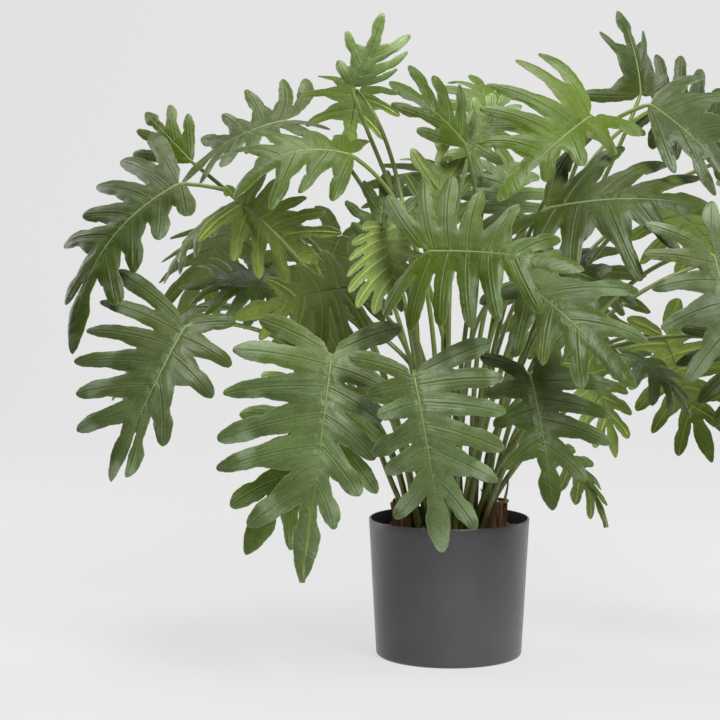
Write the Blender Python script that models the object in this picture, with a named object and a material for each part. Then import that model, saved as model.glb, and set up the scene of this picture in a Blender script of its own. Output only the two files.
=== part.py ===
"""Potted split-leaf philodendron: a plain round pot filled with soil, three brown sheaths and the leaves.

Metres, +Z up. The origin is the middle of the pot's underside, and the plant is looked at along +Y.
Each leaf is one solid, its cut blade and its stalk together, and its stalk stands in a plain hole.
"""

import math
import random
from collections import namedtuple

import bmesh
import bpy
import numpy as np
from mathutils import Vector
from mathutils.bvhtree import BVHTree

MM = 0.001
GAP = 0.3 * MM  # between pieces that touch
SEED = 7

# The pot
POT_HEIGHT = 139 * MM
POT_TOP_RADIUS = 80.5 * MM
POT_FOOT_RADIUS = 73 * MM
POT_EDGE = 4 * MM  # rounding at the foot
POT_WALL = 2.2 * MM
POT_SIDES = 40

# The soil, and what stands in it
SOIL_TOP = 125 * MM
SOIL_CROWN = 3 * MM  # how much higher it is in the middle
SEAT_DEPTH = 7 * MM  # how far a sheath is sunk into the soil
HOLE_DEPTH = 12 * MM
HOLE_SIDES = 5
SLOT_PITCH = 12.5 * MM
SLOT_REACH = 52 * MM
SLOT_CLEAR = 4.64 * MM  # from a hole's middle to a sheath
MOUTH = 1 * MM  # a stalk's second ring is this far over its hole

# The brown sheaths: middle, and height above the soil
SHEATH_RADIUS = 13 * MM
SHEATH_LIP = 1.5 * MM
SHEATH_SIDES = 14
SHEATH_SLOT_RING = 7.9 * MM
SHEATHS = (
    ("sheath_left", (-44 * MM, 5 * MM), 29 * MM),
    ("sheath_middle", (-13 * MM, 24 * MM), 32 * MM),
    ("sheath_right", (45 * MM, -5 * MM), 31 * MM),
)

# The stalks
STALK_FOOT = 2.9 * MM  # radius in its hole
STALK_END = 2.1 * MM  # radius at the blade
STALK_SIDES = 5
STALK_STEPS = 5
STALK_ROOM = 2.5 * MM  # kept clear round a stalk
KNEE = 7 * MM  # where its last ring is, short of the blade
ARRIVE_ALONG = 0.55  # how far it turns into the blade's own direction
LEVEL_RISE = 0.45  # how much of its rise it still has where it meets the blade
FAN = 0.10  # how far it leans out as it leaves its hole, as a share of its reach
RISE = 0.38  # how long it stays upright there, as a share of its span
LEVEL_OUT = 0.30  # and how long it runs straight into the blade

# The blades
BLADE_THICK = 1.1 * MM
NOTCH = 2.6 * MM  # half the blade's width where the stalk meets it
RIB_STEPS = 5
RIB_END = 0.72  # share of the midrib where the end lobe starts
CUTS = (0.26, 0.38)  # where a cut ends, as a share of the lobe from the midrib
FIRST_CUT = (0.34, 0.46)
LAST_CUT = (0.34, 0.42)
LOBE_WIDE = 9.4 * MM  # half the width of a lobe
LOBE_SHARE = 0.41  # or this share of the room to its neighbour, where that is less
TIP_WIDE = 13 * MM  # the same for the end lobe
TIP_SHARE = 0.50
LOBE_VARIES = (0.86, 1.12)
FULL_LEAF = 200 * MM  # the length of a leaf whose lobes are that wide
LOBE_GROWS = 0.62  # the power of a leaf's length that the width of its lobes follows
LOBE_WAIST = 0.6  # where a lobe is widest
LOBE_BEND = 0.07
LOBE_NARROWS = 0.90  # where a lobe narrows to its end
NARROW_SHARE = 0.74  # and its width there, as a share of its greatest
TIP_NARROWS = 0.65
TIP_CUT = -0.10  # where on the end lobe the last cut ends
TIP_WAIST = 0.16  # where the end lobe is widest
VEIN_CROWD = 1.45  # above 1, the veins start closer together near the stalk
FAN_MIDDLE = 0.35  # the lobes stand in order round this share of the leaf's length
DROP = (0.0, 0.05)  # how far a lobe's end hangs back from the blade

# Where the plant is looked at from, which the leaf table's places are read along
EYE = Vector((0, -2299 * MM, 489 * MM))

# joint and tip: (x, z, y) in mm, with x and z as seen from EYE on the plane through the pot's middle, and
# y the depth. faces: the way the upper side looks. lobes: the lobe ends, (x, z) as seen; a side with fewer
# than two gets plain ones. arch, sway and droop bend the blade along, sideways and across. A leaf with more
# of whole has shorter cuts. The depths keep the blades clear of each other.
Leaf = namedtuple("Leaf", "joint tip faces lobes tint arch sway droop sides wide whole",
                  defaults=((), "mid", 0.08, 0.0, 0.35, 6, 0.5, 0.0))

LEAVES = (
    # Low and in front
    Leaf((-36, 282, -215), (-6, 103, -205), (0.1, -0.95, 0.3),
         ((-100, 300), (-82, 262), (-72, 240), (-76, 200), (-63, 182), (-53, 136),
          (41, 315), (54, 279), (56, 245), (54, 208), (50, 174), (28, 126)), "mid"),
    Leaf((-118, 303, -175), (-148, 72, -200), (0.1, -0.95, 0.25),
         ((-190, 338), (-217, 307), (-227, 263), (-233, 216), (-234, 186), (-203, 128),
          (-48, 330), (-62, 268), (-68, 235), (-74, 197), (-90, 160), (-116, 129)), "mid"),
    Leaf((80, 284, -135), (104, 147, -160), (0.15, -0.95, 0.3),
         ((30, 300), (36, 262), (45, 232), (55, 188),
          (124, 332), (165, 272), (163, 241), (160, 214), (137, 177)), "dark"),
    Leaf((-265, 331, -70), (-341, 173, -110), (0.05, -0.93, 0.35),
         ((-334, 385), (-351, 356), (-365, 327), (-377, 294), (-376, 262), (-376, 226),
          (-214, 335), (-219, 292), (-238, 259), (-288, 209), (-326, 178)), "dark"),
    Leaf((-23, 405, -225), (133, 388, -240), (0.05, -0.85, 0.5),
         ((-62, 461), (-25, 483), (2, 479), (31, 466), (68, 453), (109, 421),
          (-65, 341), (-39, 330), (-9, 331), (22, 331), (49, 336), (91, 345)), "light"),
    Leaf((70, 376, -180), (185, 270, -210), (0.15, -0.9, 0.4),
         ((110, 405), (187, 366), (198, 317),
          (30, 352), (66, 303), (93, 293), (133, 270)), "grey"),
    Leaf((261, 403, -150), (290, 256, -190), (0.1, -0.95, 0.25),
         ((259, 456), (193, 433), (191, 403), (202, 370), (211, 330), (237, 276),
          (322, 440), (352, 400), (362, 355), (350, 310), (324, 272)), "grey"),
    Leaf((140, 540, -60), (47, 456, -120), (0.0, -0.9, 0.45),
         ((91, 619), (64, 596), (40, 568), (29, 547), (28, 516),
          (192, 520), (164, 504), (130, 490), (94, 478)), "light"),
    # The left side
    Leaf((-269, 473, -20), (-379, 302, -60), (-0.45, -0.8, 0.35),
         ((-302, 525), (-330, 497), (-353, 471), (-366, 440), (-390, 414), (-385, 352),
          (-262, 440), (-290, 415), (-318, 385), (-335, 352)), "dark", 0.1, 0.10),
    Leaf((-98, 501, -70), (-215, 458, -110), (-0.1, -0.6, 0.8),
         ((-108, 540), (-138, 550), (-176, 562), (-220, 547), (-238, 500),
          (-118, 458), (-150, 464), (-180, 448)), "light", 0.12, 0.14),
    Leaf((-207, 453, -52), (-132, 393, -14), (-0.25, 0.95, 0.2),
         ((-224, 471), (-184, 485), (-165, 479), (-143, 459), (-124, 445), (-108, 424),
          (-252, 416), (-216, 396), (-190, 378), (-160, 366)), "under", 0.06),
    Leaf((-101, 369, -75), (-215, 338, -44), (-0.1, 0.9, 0.3),
         ((-96, 422), (-125, 408), (-152, 394), (-185, 380)), "under", 0.1),
    Leaf((-172, 366, 20), (-270, 369, 40), (0.0, -0.6, 0.8),
         ((-165, 425), (-206, 428), (-235, 411), (-258, 394)), "dark"),
    Leaf((-214, 454, 0), (-286, 373, -10), (-0.6, -0.25, 0.75), (), "under", 0.1, 0.0, 0.5, 5, 0.42),
    Leaf((-258, 495, 86), (-303, 543, 131), (-0.6, -0.4, 0.7),
         ((-316, 503), (-311, 525), (-262, 543), (-279, 551)), "mid", 0.1),
    Leaf((-163, 535, 60), (-268, 472, 40), (-0.3, -0.42, 0.85),
         ((-150, 604), (-178, 588), (-203, 566), (-226, 540), (-247, 517)), "grey", 0.1, 0.0, -0.25),
    Leaf((-92, 566, 42), (-102, 505, 94), (0.0, 0.75, 0.6),
         ((-150, 560), (-130, 584), (-143, 532), (-52, 562), (-50, 540), (-66, 517)), "pale", 0.1),
    Leaf((-98, 570, -9), (-67, 641, -34), (0.55, -0.85, 0.1),
         ((-52, 585), (-41, 601), (-40, 619), (-110, 594), (-102, 622)), "light"),
    # The middle, behind the front leaves
    Leaf((-65, 430, -150), (-48, 345, -165), (-0.5, 0.8, 0.2),
         ((-88, 428), (-97, 413), (-101, 396), (-103, 380), (-101, 365), (-93, 350), (-76, 342)), "pale", 0.06,
         0.0, 0.35, 6, 0.5, 0.65),
    Leaf((-15, 421, 45), (-6, 541, 95), (0.1, 0.8, 0.5),
         ((-38, 508), (-44, 482), (-40, 455), (16, 510), (24, 484), (20, 456)), "pale", 0.06),
    Leaf((15, 511, -40), (-61, 573, -60), (-0.1, -0.75, 0.65),
         ((24, 545), (8, 570), (-16, 580), (-40, 590), (-58, 552), (-34, 526)), "mid", 0.1),
    Leaf((20, 505, 60), (62, 566, 90), (0.1, -0.8, 0.6), (), "grey", 0.1, 0.0, 0.4, 5, 0.45),
    Leaf((60, 436, 57), (45, 505, 142), (0.1, -0.6, 0.8), (), "mid", 0.1, 0.0, 0.35, 6, 0.5),
    Leaf((95, 392, -70), (186, 352, -60), (0.2, -0.75, 0.65), (), "dark", 0.1, 0.0, 0.4, 6, 0.46),
    # The right side
    Leaf((95, 448, -89), (261, 448, -74), (0.1, -0.8, 0.6),
         ((120, 505), (172, 512), (215, 497), (248, 478),
          (43, 415), (80, 392), (120, 380), (190, 376), (228, 402)), "dark", 0.1),
    Leaf((196, 551, -48), (285, 466, -78), (0.2, -0.8, 0.5),
         ((250, 580), (282, 558), (302, 525), (222, 484), (262, 462)), "grey"),
    Leaf((187, 560, 60), (164, 642, 80), (0.6, -0.75, 0.2),
         ((146, 622), (128, 560), (189, 622), (214, 578)), "dark"),
    Leaf((205, 548, 100), (300, 525, 125), (0.1, -0.8, 0.5),
         ((190, 622), (204, 606), (227, 599), (246, 584), (268, 568)), "dark", 0.1),
    Leaf((176, 303, -30), (240, 240, -50), (0.2, -0.5, 0.85), (), "mid", 0.14, 0.0, 0.6, 5, 0.4),
    Leaf((214, 321, 20), (262, 196, 5), (-0.1, 0.8, 0.5), (), "under", 0.12, 0.0, 0.5, 6, 0.45),
    Leaf((136, 290, -48), (166, 200, -58), (0.5, 0.75, 0.4), (), "pale", 0.1, 0.0, 0.4, 5, 0.5),
    Leaf((108, 208, 30), (158, 130, 10), (0.5, 0.6, 0.6), (), "pale", 0.1, 0.0, 0.4, 5, 0.42),
    Leaf((-112, 262, -95), (-205, 100, -120), (0.0, -0.9, 0.4), (), "dark", 0.08, 0.0, 0.35, 5, 0.46),
    # The right side past the photograph's edge
    Leaf((300, 500, 10), (392, 400, -10), (0.4, -0.7, 0.6), (), "mid", 0.12, 0.0, 0.4, 6, 0.48),
    Leaf((285, 318, -60), (366, 178, -90), (0.35, -0.85, 0.4), (), "dark", 0.1, 0.0, 0.35, 6, 0.5),
    Leaf((320, 400, 90), (388, 290, 110), (0.7, 0.1, 0.7), (), "mid", 0.12, 0.0, 0.4, 6, 0.5),
    # The back
    Leaf((-200, 440, 150), (-270, 330, 220), (-0.5, 0.6, 0.6), (), "dark", 0.12, 0.0, 0.4, 6, 0.5),
    Leaf((-110, 420, 210), (-150, 275, 280), (-0.2, 0.9, 0.4), (), "mid", 0.1, 0.0, 0.35, 6, 0.5),
    Leaf((-10, 490, 200), (-20, 385, 320), (0.0, 0.8, 0.6), (), "mid", 0.12, 0.0, 0.35, 6, 0.5),
    Leaf((110, 400, 210), (150, 255, 270), (0.2, 0.9, 0.4), (), "dark", 0.1, 0.0, 0.35, 6, 0.5),
    Leaf((215, 450, 190), (290, 350, 260), (0.5, 0.6, 0.6), (), "mid", 0.12, 0.0, 0.4, 6, 0.5),
    Leaf((-250, 350, 110), (-330, 240, 160), (-0.7, 0.3, 0.6), (), "mid", 0.1, 0.0, 0.4, 6, 0.46),
    Leaf((40, 520, 154), (20, 580, 254), (0.0, 0.4, 0.9), (), "light", 0.12, 0.0, 0.4, 6, 0.5),
    # One more in the middle
    Leaf((-72, 413, 5), (-62, 486, 27), (0.0, -0.8, 0.6),
         ((-98, 434), (-104, 456), (-86, 476), (-46, 482), (-32, 462), (-40, 436)), "mid", 0.08),
)

# A side's plain lobe ends, from the stalk to the tip, as shares of the leaf's length along and across it
PLAIN_LOBES = {
    5: ((-0.16, 0.62), (0.12, 0.92), (0.38, 1.0), (0.62, 0.82), (0.84, 0.46)),
    6: ((-0.24, 0.50), (-0.02, 0.80), (0.22, 1.0), (0.44, 0.98), (0.66, 0.78), (0.86, 0.46)),
}
PLAIN_JITTER = 0.03
FORM_DRAWS = 2  # draws left out here, which shape the lobes' rounded ends
PLAIN_REACH = (0.9, 1.06)
LOBE_BACK = -0.42  # the furthest that a lobe's end may lie behind the stalk's joint
LOBE_OUT = 0.80  # and to the side of it

# Colour, roughness
FINISHES = {
    "dark": ((0.045, 0.095, 0.035), 0.38),
    "mid": ((0.075, 0.150, 0.045), 0.38),
    "light": ((0.120, 0.230, 0.050), 0.38),
    "grey": ((0.080, 0.150, 0.080), 0.36),
    "under": ((0.160, 0.260, 0.030), 0.45),
    "pale": ((0.200, 0.300, 0.080), 0.45),
    "pot": ((0.072, 0.075, 0.080), 0.42),
    "soil": ((0.035, 0.022, 0.014), 0.95),
    "sheath": ((0.085, 0.035, 0.018), 0.75),
}

# How the stalks are set so that none crosses a blade or another stalk
STALK_BOWS = (12, 26, 44, 66)  # mm that a stalk is bent aside
STALK_BOW_WAYS = 8
STALK_TRIES = 8  # how many of the nearest holes a stalk may stand in
FOOT_SPREAD = 1.1  # the outermost leaf's stalk would stand this share of SLOT_REACH out
SAMPLE_STEP = 6 * MM
FOOT_REACH = 45 * MM  # the stalks stand close together up to this height over the soil
FOOT_EASE = 2 * MM  # and need this much less room there
OWN_REACH = 0.12  # a stalk may be near its own blade this close to it, as a share of the blade's length


def clear_scene():
    for thing in list(bpy.data.objects):
        bpy.data.objects.remove(thing, do_unlink=True)


def finish_of(name):
    """The material of this name, made once."""
    found = bpy.data.materials.get(name)
    if found:
        return found
    colour, roughness = FINISHES[name]
    made = bpy.data.materials.new(name)
    made.use_nodes = True
    shader = made.node_tree.nodes["Principled BSDF"]
    shader.inputs["Base Color"].default_value = (*colour, 1)
    shader.inputs["Roughness"].default_value = roughness
    shader.inputs["Metallic"].default_value = 0.0
    return made


def add_object(name, mesh, finish):
    mesh.materials.append(finish_of(finish))
    made = bpy.data.objects.new(name, mesh)
    bpy.context.scene.collection.objects.link(made)
    return made


def mesh_of(name, points, faces):
    """A closed mesh with its faces turned outwards."""
    made = bpy.data.meshes.new(name)
    made.from_pydata(points, [], faces)
    shape = bmesh.new()
    shape.from_mesh(made)
    bmesh.ops.recalc_face_normals(shape, faces=shape.faces)
    if shape.calc_volume(signed=True) < 0:
        bmesh.ops.reverse_faces(shape, faces=shape.faces)
    shape.to_mesh(made)
    shape.free()
    return made


def turned(name, profile, sides):
    """A turned solid: profile is (radius, z) points, and a radius of 0 closes it on the axis."""
    points = []
    rings = []
    for radius, z in profile:
        if radius == 0:
            rings.append([len(points)])
            points.append((0, 0, z))
            continue
        rings.append(list(range(len(points), len(points) + sides)))
        for side in range(sides):
            angle = math.tau * side / sides
            points.append((radius * math.cos(angle), radius * math.sin(angle), z))
    faces = []
    for low, high in zip(rings, rings[1:]):
        for side in range(sides):
            after = (side + 1) % sides
            lower = [low[side % len(low)], low[after % len(low)]]
            upper = [high[after % len(high)], high[side % len(high)]]
            faces.append(list(dict.fromkeys(lower + upper)))
    return mesh_of(name, points, faces)


def pot_outer_radius(z):
    """The outside of the pot's wall at height z, above the rounded edge."""
    return POT_FOOT_RADIUS + (POT_TOP_RADIUS - POT_FOOT_RADIUS) * z / POT_HEIGHT


def make_pot():
    half_edge = POT_EDGE * (1 - math.sqrt(0.5))
    profile = [
        (0, 0),
        (POT_FOOT_RADIUS - POT_EDGE, 0),
        (POT_FOOT_RADIUS - half_edge, half_edge),
        (pot_outer_radius(POT_EDGE), POT_EDGE),
        (POT_TOP_RADIUS, POT_HEIGHT),
        (POT_TOP_RADIUS - POT_WALL, POT_HEIGHT),
        (pot_outer_radius(POT_WALL) - POT_WALL, POT_WALL),
        (0, POT_WALL),
    ]
    mesh = turned("pot", profile, POT_SIDES)
    mesh.shade_smooth()
    mesh.set_sharp_from_angle(angle=math.radians(40))
    return add_object("pot", mesh, "pot")


def prism(points, faces, middle, radius, low, high, sides, turn=0.0):
    """Adds an upright prism to points and faces."""
    first = len(points)
    for z in (low, high):
        for side in range(sides):
            angle = turn + math.tau * side / sides
            points.append((middle[0] + radius * math.cos(angle), middle[1] + radius * math.sin(angle), z))
    faces.append(list(range(first, first + sides))[::-1])
    faces.append(list(range(first + sides, first + 2 * sides)))
    for side in range(sides):
        after = (side + 1) % sides
        faces.append([first + side, first + after, first + sides + after, first + sides + side])


def cut(body, name, prisms):
    """Cuts upright prisms, (middle, radius, low, high, sides), out of body."""
    points = []
    faces = []
    for middle, radius, low, high, sides in prisms:
        prism(points, faces, middle, radius, low, high, sides)
    cutter = add_object(name, mesh_of(name, points, faces), "soil")
    cutter.hide_render = True
    cutter.display_type = "WIRE"
    boolean = body.modifiers.new(name, "BOOLEAN")
    boolean.operation = "DIFFERENCE"
    boolean.object = cutter


def hole_of(slot):
    """The plain hole of a slot, as a prism for cut()."""
    radius = STALK_FOOT + GAP / math.cos(math.pi / HOLE_SIDES)
    return (slot.x, slot.y), radius, slot.z - HOLE_DEPTH, slot.z + HOLE_DEPTH, HOLE_SIDES


def make_soil(slots):
    rim = pot_outer_radius(SOIL_TOP) - POT_WALL - GAP
    foot = pot_outer_radius(POT_WALL) - POT_WALL - GAP
    profile = [
        (0, POT_WALL + GAP),
        (foot, POT_WALL + GAP),
        (rim, SOIL_TOP),
        (SLOT_REACH + 2 * STALK_FOOT, SOIL_TOP + SOIL_CROWN),
        (0, SOIL_TOP + SOIL_CROWN),
    ]
    soil = add_object("soil", turned("soil", profile, POT_SIDES), "soil")
    seats = []
    for _, middle, _ in SHEATHS:
        top = SOIL_TOP + SOIL_CROWN
        seats.append((middle, SHEATH_RADIUS + GAP, top - SEAT_DEPTH, top + SEAT_DEPTH, SHEATH_SIDES))
    cut(soil, "soil_cutter", seats + [hole_of(slot) for slot in slots if slot.z < SOIL_TOP + 2 * SOIL_CROWN])
    return soil


def make_sheath(name, middle, height, slots):
    """A brown stub of old leaf bases, flared at its top, with a hole for each stalk."""
    base = SOIL_TOP + SOIL_CROWN - SEAT_DEPTH + GAP
    top = SOIL_TOP + SOIL_CROWN + height
    profile = [
        (0, base),
        (SHEATH_RADIUS, base),
        (SHEATH_RADIUS, SOIL_TOP + SOIL_CROWN + height * 0.7),
        (SHEATH_RADIUS + SHEATH_LIP, top - SHEATH_LIP),
        (SHEATH_RADIUS, top),
        (0, top),
    ]
    mesh = turned(name, profile, SHEATH_SIDES)
    for corner in mesh.vertices:
        corner.co.x += middle[0]
        corner.co.y += middle[1]
    sheath = add_object(name, mesh, "sheath")
    if slots:
        cut(sheath, name + "_cutter", [hole_of(slot) for slot in slots])
    return sheath


def all_slots():
    """Every place where a stalk may stand: seven in each sheath, and a net of them in the soil between."""
    slots = []
    for _, middle, height in SHEATHS:
        top = SOIL_TOP + SOIL_CROWN + height
        slots.append(Vector((*middle, top)))
        for turn in range(6):
            angle = math.tau * (turn + 0.5) / 6
            aside = Vector((math.cos(angle), math.sin(angle), 0)) * SHEATH_SLOT_RING
            slots.append(Vector((*middle, top)) + aside)
    count = int(SLOT_REACH / SLOT_PITCH) + 1
    for row in range(-count - 1, count + 2):
        for column in range(-count - 1, count + 2):
            x = (column + 0.5 * (row % 2)) * SLOT_PITCH
            y = row * SLOT_PITCH * math.sqrt(0.75)
            near = min(math.dist((x, y), middle) for _, middle, _ in SHEATHS)
            if math.hypot(x, y) < SLOT_REACH and near > SHEATH_RADIUS + SHEATH_LIP + SLOT_CLEAR:
                slots.append(Vector((x, y, SOIL_TOP + SOIL_CROWN)))
    return slots


def seen(x, z, y):
    """The point at depth y, in mm, on the sight line through (x, z) on the plane through the pot's middle."""
    on_plane = Vector((x * MM, 0, z * MM))
    return EYE + (on_plane - EYE) * ((y * MM - EYE.y) / -EYE.y)


class Blade:
    """A leaf's blade as a height field over the plane of its joint, its tip and the way it faces."""

    def __init__(self, leaf, number):
        self.leaf = leaf
        self.draw = random.Random(SEED + number)
        self.joint = seen(*leaf.joint)
        tip = seen(*leaf.tip)
        self.length = (tip - self.joint).length
        self.along = (tip - self.joint).normalized()
        faces = Vector(leaf.faces)
        self.out = (faces - self.along * faces.dot(self.along)).normalized()
        self.side = self.along.cross(self.out)
        self.lobes = {1: [], -1: []}
        self.lay_lobes()
        self.cuts, self.forms = {}, {}
        for side, ends in self.lobes.items():
            places = [FIRST_CUT] + [CUTS] * (len(ends) - 2) + [LAST_CUT]
            cuts = [self.draw.uniform(*place) for place in places]
            self.cuts[side] = [cut + (LOBE_WAIST - cut) * self.leaf.whole for cut in cuts]
            self.forms[side] = [self.lobe_form(LOBE_WIDE, LOBE_SHARE) for _ in ends]
        tip_form = self.lobe_form(TIP_WIDE, TIP_SHARE)
        for side in (1, -1):
            self.forms[side].append(tip_form)

    def lobe_form(self, wide, share):
        """A lobe's half width, as a share of the leaf's length, and its share of the room to its neighbours."""
        varied = self.draw.uniform(*LOBE_VARIES)
        for _ in range(FORM_DRAWS):
            self.draw.random()
        grown = (self.length / FULL_LEAF) ** LOBE_GROWS
        return wide * grown / self.length * varied, share * varied

    def rib(self, u):
        """How far the midrib is swayed aside at u."""
        return self.leaf.sway * 4 * u * (1 - u) if 0 < u < 1 else 0.0

    def height(self, u, v):
        across = v - self.rib(u)
        return self.leaf.arch * 4 * u * (1 - u) - self.leaf.droop * across * across

    def point(self, u, v, drop=0.0, lift=0.0):
        """The place of (u, v), shares of the length along and across, hung back by drop, raised by lift."""
        flat = self.joint + (self.along * u + self.side * v) * self.length
        return flat + self.out * ((self.height(u, v) - drop) * self.length + lift)

    def spot_seen(self, x, z, drop):
        """(u, v) of the point of the blade that is seen at (x, z)."""
        ray = Vector((x * MM, 0, z * MM)) - EYE
        u, v = 0.5, 0.0
        for _ in range(6):
            base = self.joint + self.out * (self.height(u, v) - drop) * self.length
            hit = EYE + ray * ((base - EYE).dot(self.out) / ray.dot(self.out)) - self.joint
            u = min(max(hit.dot(self.along) / self.length, LOBE_BACK), 1.0)
            v = min(max(hit.dot(self.side) / self.length, -LOBE_OUT), LOBE_OUT)
        return u, v

    def lay_lobes(self):
        """The lobe ends of both sides, each side in order from the stalk to the tip."""
        for x, z in self.leaf.lobes:
            drop = self.draw.uniform(*DROP)
            u, v = self.spot_seen(x, z, drop)
            side = 1 if v > self.rib(u) else -1
            self.lobes[side].append((u, v, drop))
        for side, ends in self.lobes.items():
            if len(ends) < 2:
                ends.clear()
                for u, v in PLAIN_LOBES[self.leaf.sides]:
                    spread = self.draw.uniform(-PLAIN_JITTER, PLAIN_JITTER)
                    reach = self.leaf.wide * v * self.draw.uniform(*PLAIN_REACH)
                    ends.append((u + spread, side * reach, self.draw.uniform(*DROP)))
            ends.sort(key=lambda end: math.atan2(abs(end[1]), FAN_MIDDLE - end[0]))

    def vein(self, side, index):
        """The share of the midrib where this lobe's vein starts."""
        return RIB_END * (index / len(self.lobes[side])) ** VEIN_CROWD

    def lobe_line(self, side, index, s):
        """(u, v) at share s of a lobe's middle line."""
        start_u = self.vein(side, index)
        start = Vector((start_u, self.rib(start_u)))
        end = Vector(self.lobes[side][index][:2])
        middle = (start + end) / 2 + Vector((-(end - start).y, (end - start).x)) * side * LOBE_BEND
        return start * (1 - s) ** 2 + middle * 2 * s * (1 - s) + end * s * s

    def tip_line(self, s):
        """(u, v) at share s of the end lobe's middle line."""
        u = RIB_END + (1 - RIB_END) * s
        return Vector((u, self.rib(u)))

    def arm(self, side, index, cut):
        """The middle line of a side's lobe, or of the end lobe after them, as a function of s; cut is where its
        cut starts, so that both lines reach their waists together."""
        if index < len(self.lobes[side]):
            return lambda s: self.lobe_line(side, index, s)

        def on_tip(s):
            if s < LOBE_WAIST:
                return self.tip_line(TIP_CUT + (TIP_WAIST - TIP_CUT) * (s - cut) / (LOBE_WAIST - cut))
            return self.tip_line(TIP_WAIST + (1 - TIP_WAIST) * (s - LOBE_WAIST) / (1 - LOBE_WAIST))

        return on_tip


def lobe_width(line, other, form):
    """Half the width of a lobe on the side of a neighbour, in shares of the leaf's length."""
    if other is None:
        return form[0]
    spots = ((line(s), other(t)) for s in (LOBE_WAIST, 0.8, 1.0) for t in (0.5, LOBE_WAIST, 0.75, 0.9, 1.0))
    room = min((here - there).length for here, there in spots)
    return min(form[0], form[1] * room)


def outer_points(line, back, front, side, drop, narrow):
    """The five outer points of a lobe, (u, v, drop), from its back edge round to its front edge."""
    waist = line(LOBE_WAIST)
    neck = line(LOBE_NARROWS)
    end = line(1.0)
    ahead = (end - waist).normalized()
    forward = Vector((-ahead.y, ahead.x)) * -side
    return [
        (*(waist - forward * back), drop * LOBE_WAIST ** 2),
        (*(neck - forward * back * narrow), drop * LOBE_NARROWS ** 2),
        (*end, drop),
        (*(neck + forward * front * narrow), drop * LOBE_NARROWS ** 2),
        (*(waist + forward * front), drop * LOBE_WAIST ** 2),
    ]


def lobe_outline(blade, side, index):
    """The outer points of a side's lobe."""
    cut = blade.cuts[side][index]
    line = blade.arm(side, index, cut)
    form = blade.forms[side][index]
    before = blade.arm(side, index - 1, cut) if index else None
    back = lobe_width(line, before, form)
    front = lobe_width(line, blade.arm(side, index + 1, cut), form)
    return outer_points(line, back, front, side, blade.lobes[side][index][2], NARROW_SHARE)


def sinus_point(blade, side, index):
    """The inner end of the cut after this lobe, (u, v, drop)."""
    cut = blade.cuts[side][index]
    middle = (blade.arm(side, index, cut)(cut) + blade.arm(side, index + 1, cut)(cut)) / 2
    return (*middle, blade.lobes[side][index][2] * cut ** 2)


def end_lobe(blade):
    """The outer points of the lobe at the tip, from the +v side round to the -v side."""
    widths = []
    for side in (1, -1):
        last = len(blade.lobes[side]) - 1
        cut = blade.cuts[side][last]
        line = blade.arm(side, last + 1, cut)
        widths.append(lobe_width(line, blade.arm(side, last, cut), blade.forms[side][-1]))
    return outer_points(line, widths[0], widths[1], 1, 0.0, TIP_NARROWS)


def blade_plan(blade):
    """The blade's outline and ribs as (u, v, drop) points, with its triangles and the outline's order."""
    spots = []
    faces = []

    def spot(place):
        spots.append(place)
        return len(spots) - 1

    notch = NOTCH / blade.length
    start = {side: spot((0.0, side * notch, 0.0)) for side in (1, -1)}
    rib = []
    for step in range(1, RIB_STEPS + 1):
        u = RIB_END * step / RIB_STEPS
        rib.append(spot((u, blade.rib(u), 0.0)))
    faces.append((start[1], start[-1], rib[0]))
    loops = {}
    cuts = {}
    for side in (1, -1):
        loop = [start[side]]
        inner = [start[side]]
        for index in range(len(blade.lobes[side])):
            back = loop[-1]
            a, b, c, d, e = (spot(place) for place in lobe_outline(blade, side, index))
            front = spot(sinus_point(blade, side, index))
            faces += [(back, front, e), (back, e, a), (a, e, d), (a, d, b), (b, d, c)]
            loop += [a, b, c, d, e, front]
            inner.append(front)
        loops[side] = loop
        cuts[side] = inner
        i, j = 0, 0
        while i < len(inner) - 1 or j < len(rib) - 1:
            on_cuts = blade.vein(side, i + 0.5) if i < len(inner) - 1 else 9.0
            on_rib = RIB_END * (j + 1.5) / RIB_STEPS if j < len(rib) - 1 else 9.0
            if on_cuts <= on_rib:
                faces.append((inner[i], inner[i + 1], rib[j]))
                i += 1
            else:
                faces.append((inner[i], rib[j + 1], rib[j]))
                j += 1
    ends = [spot(place) for place in end_lobe(blade)]
    fan = [cuts[1][-1], *ends, cuts[-1][-1]]
    faces += [(rib[-1], here, after) for here, after in zip(fan, fan[1:])]
    outline = loops[1] + ends + loops[-1][::-1]
    return spots, faces, outline


def blade_mesh(blade, thick, closed=True):
    """The blade's points and faces, the same triangles on both sides, open at the stalk unless closed."""
    spots, flat, outline = blade_plan(blade)
    points = [blade.point(*place, lift=thick / 2) for place in spots]
    points += [blade.point(*place, lift=-thick / 2) for place in spots]
    under = len(spots)
    faces = flat + [tuple(corner + under for corner in face[::-1]) for face in flat]
    for here, after in zip(outline, outline[1:]):
        faces += [(here, after, after + under), (here, after + under, here + under)]
    opening = [outline[0] + under, outline[-1] + under, outline[-1], outline[0]]
    if closed:
        faces += [tuple(opening[:3]), (opening[0], opening[2], opening[3])]
    return points, faces, opening


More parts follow.
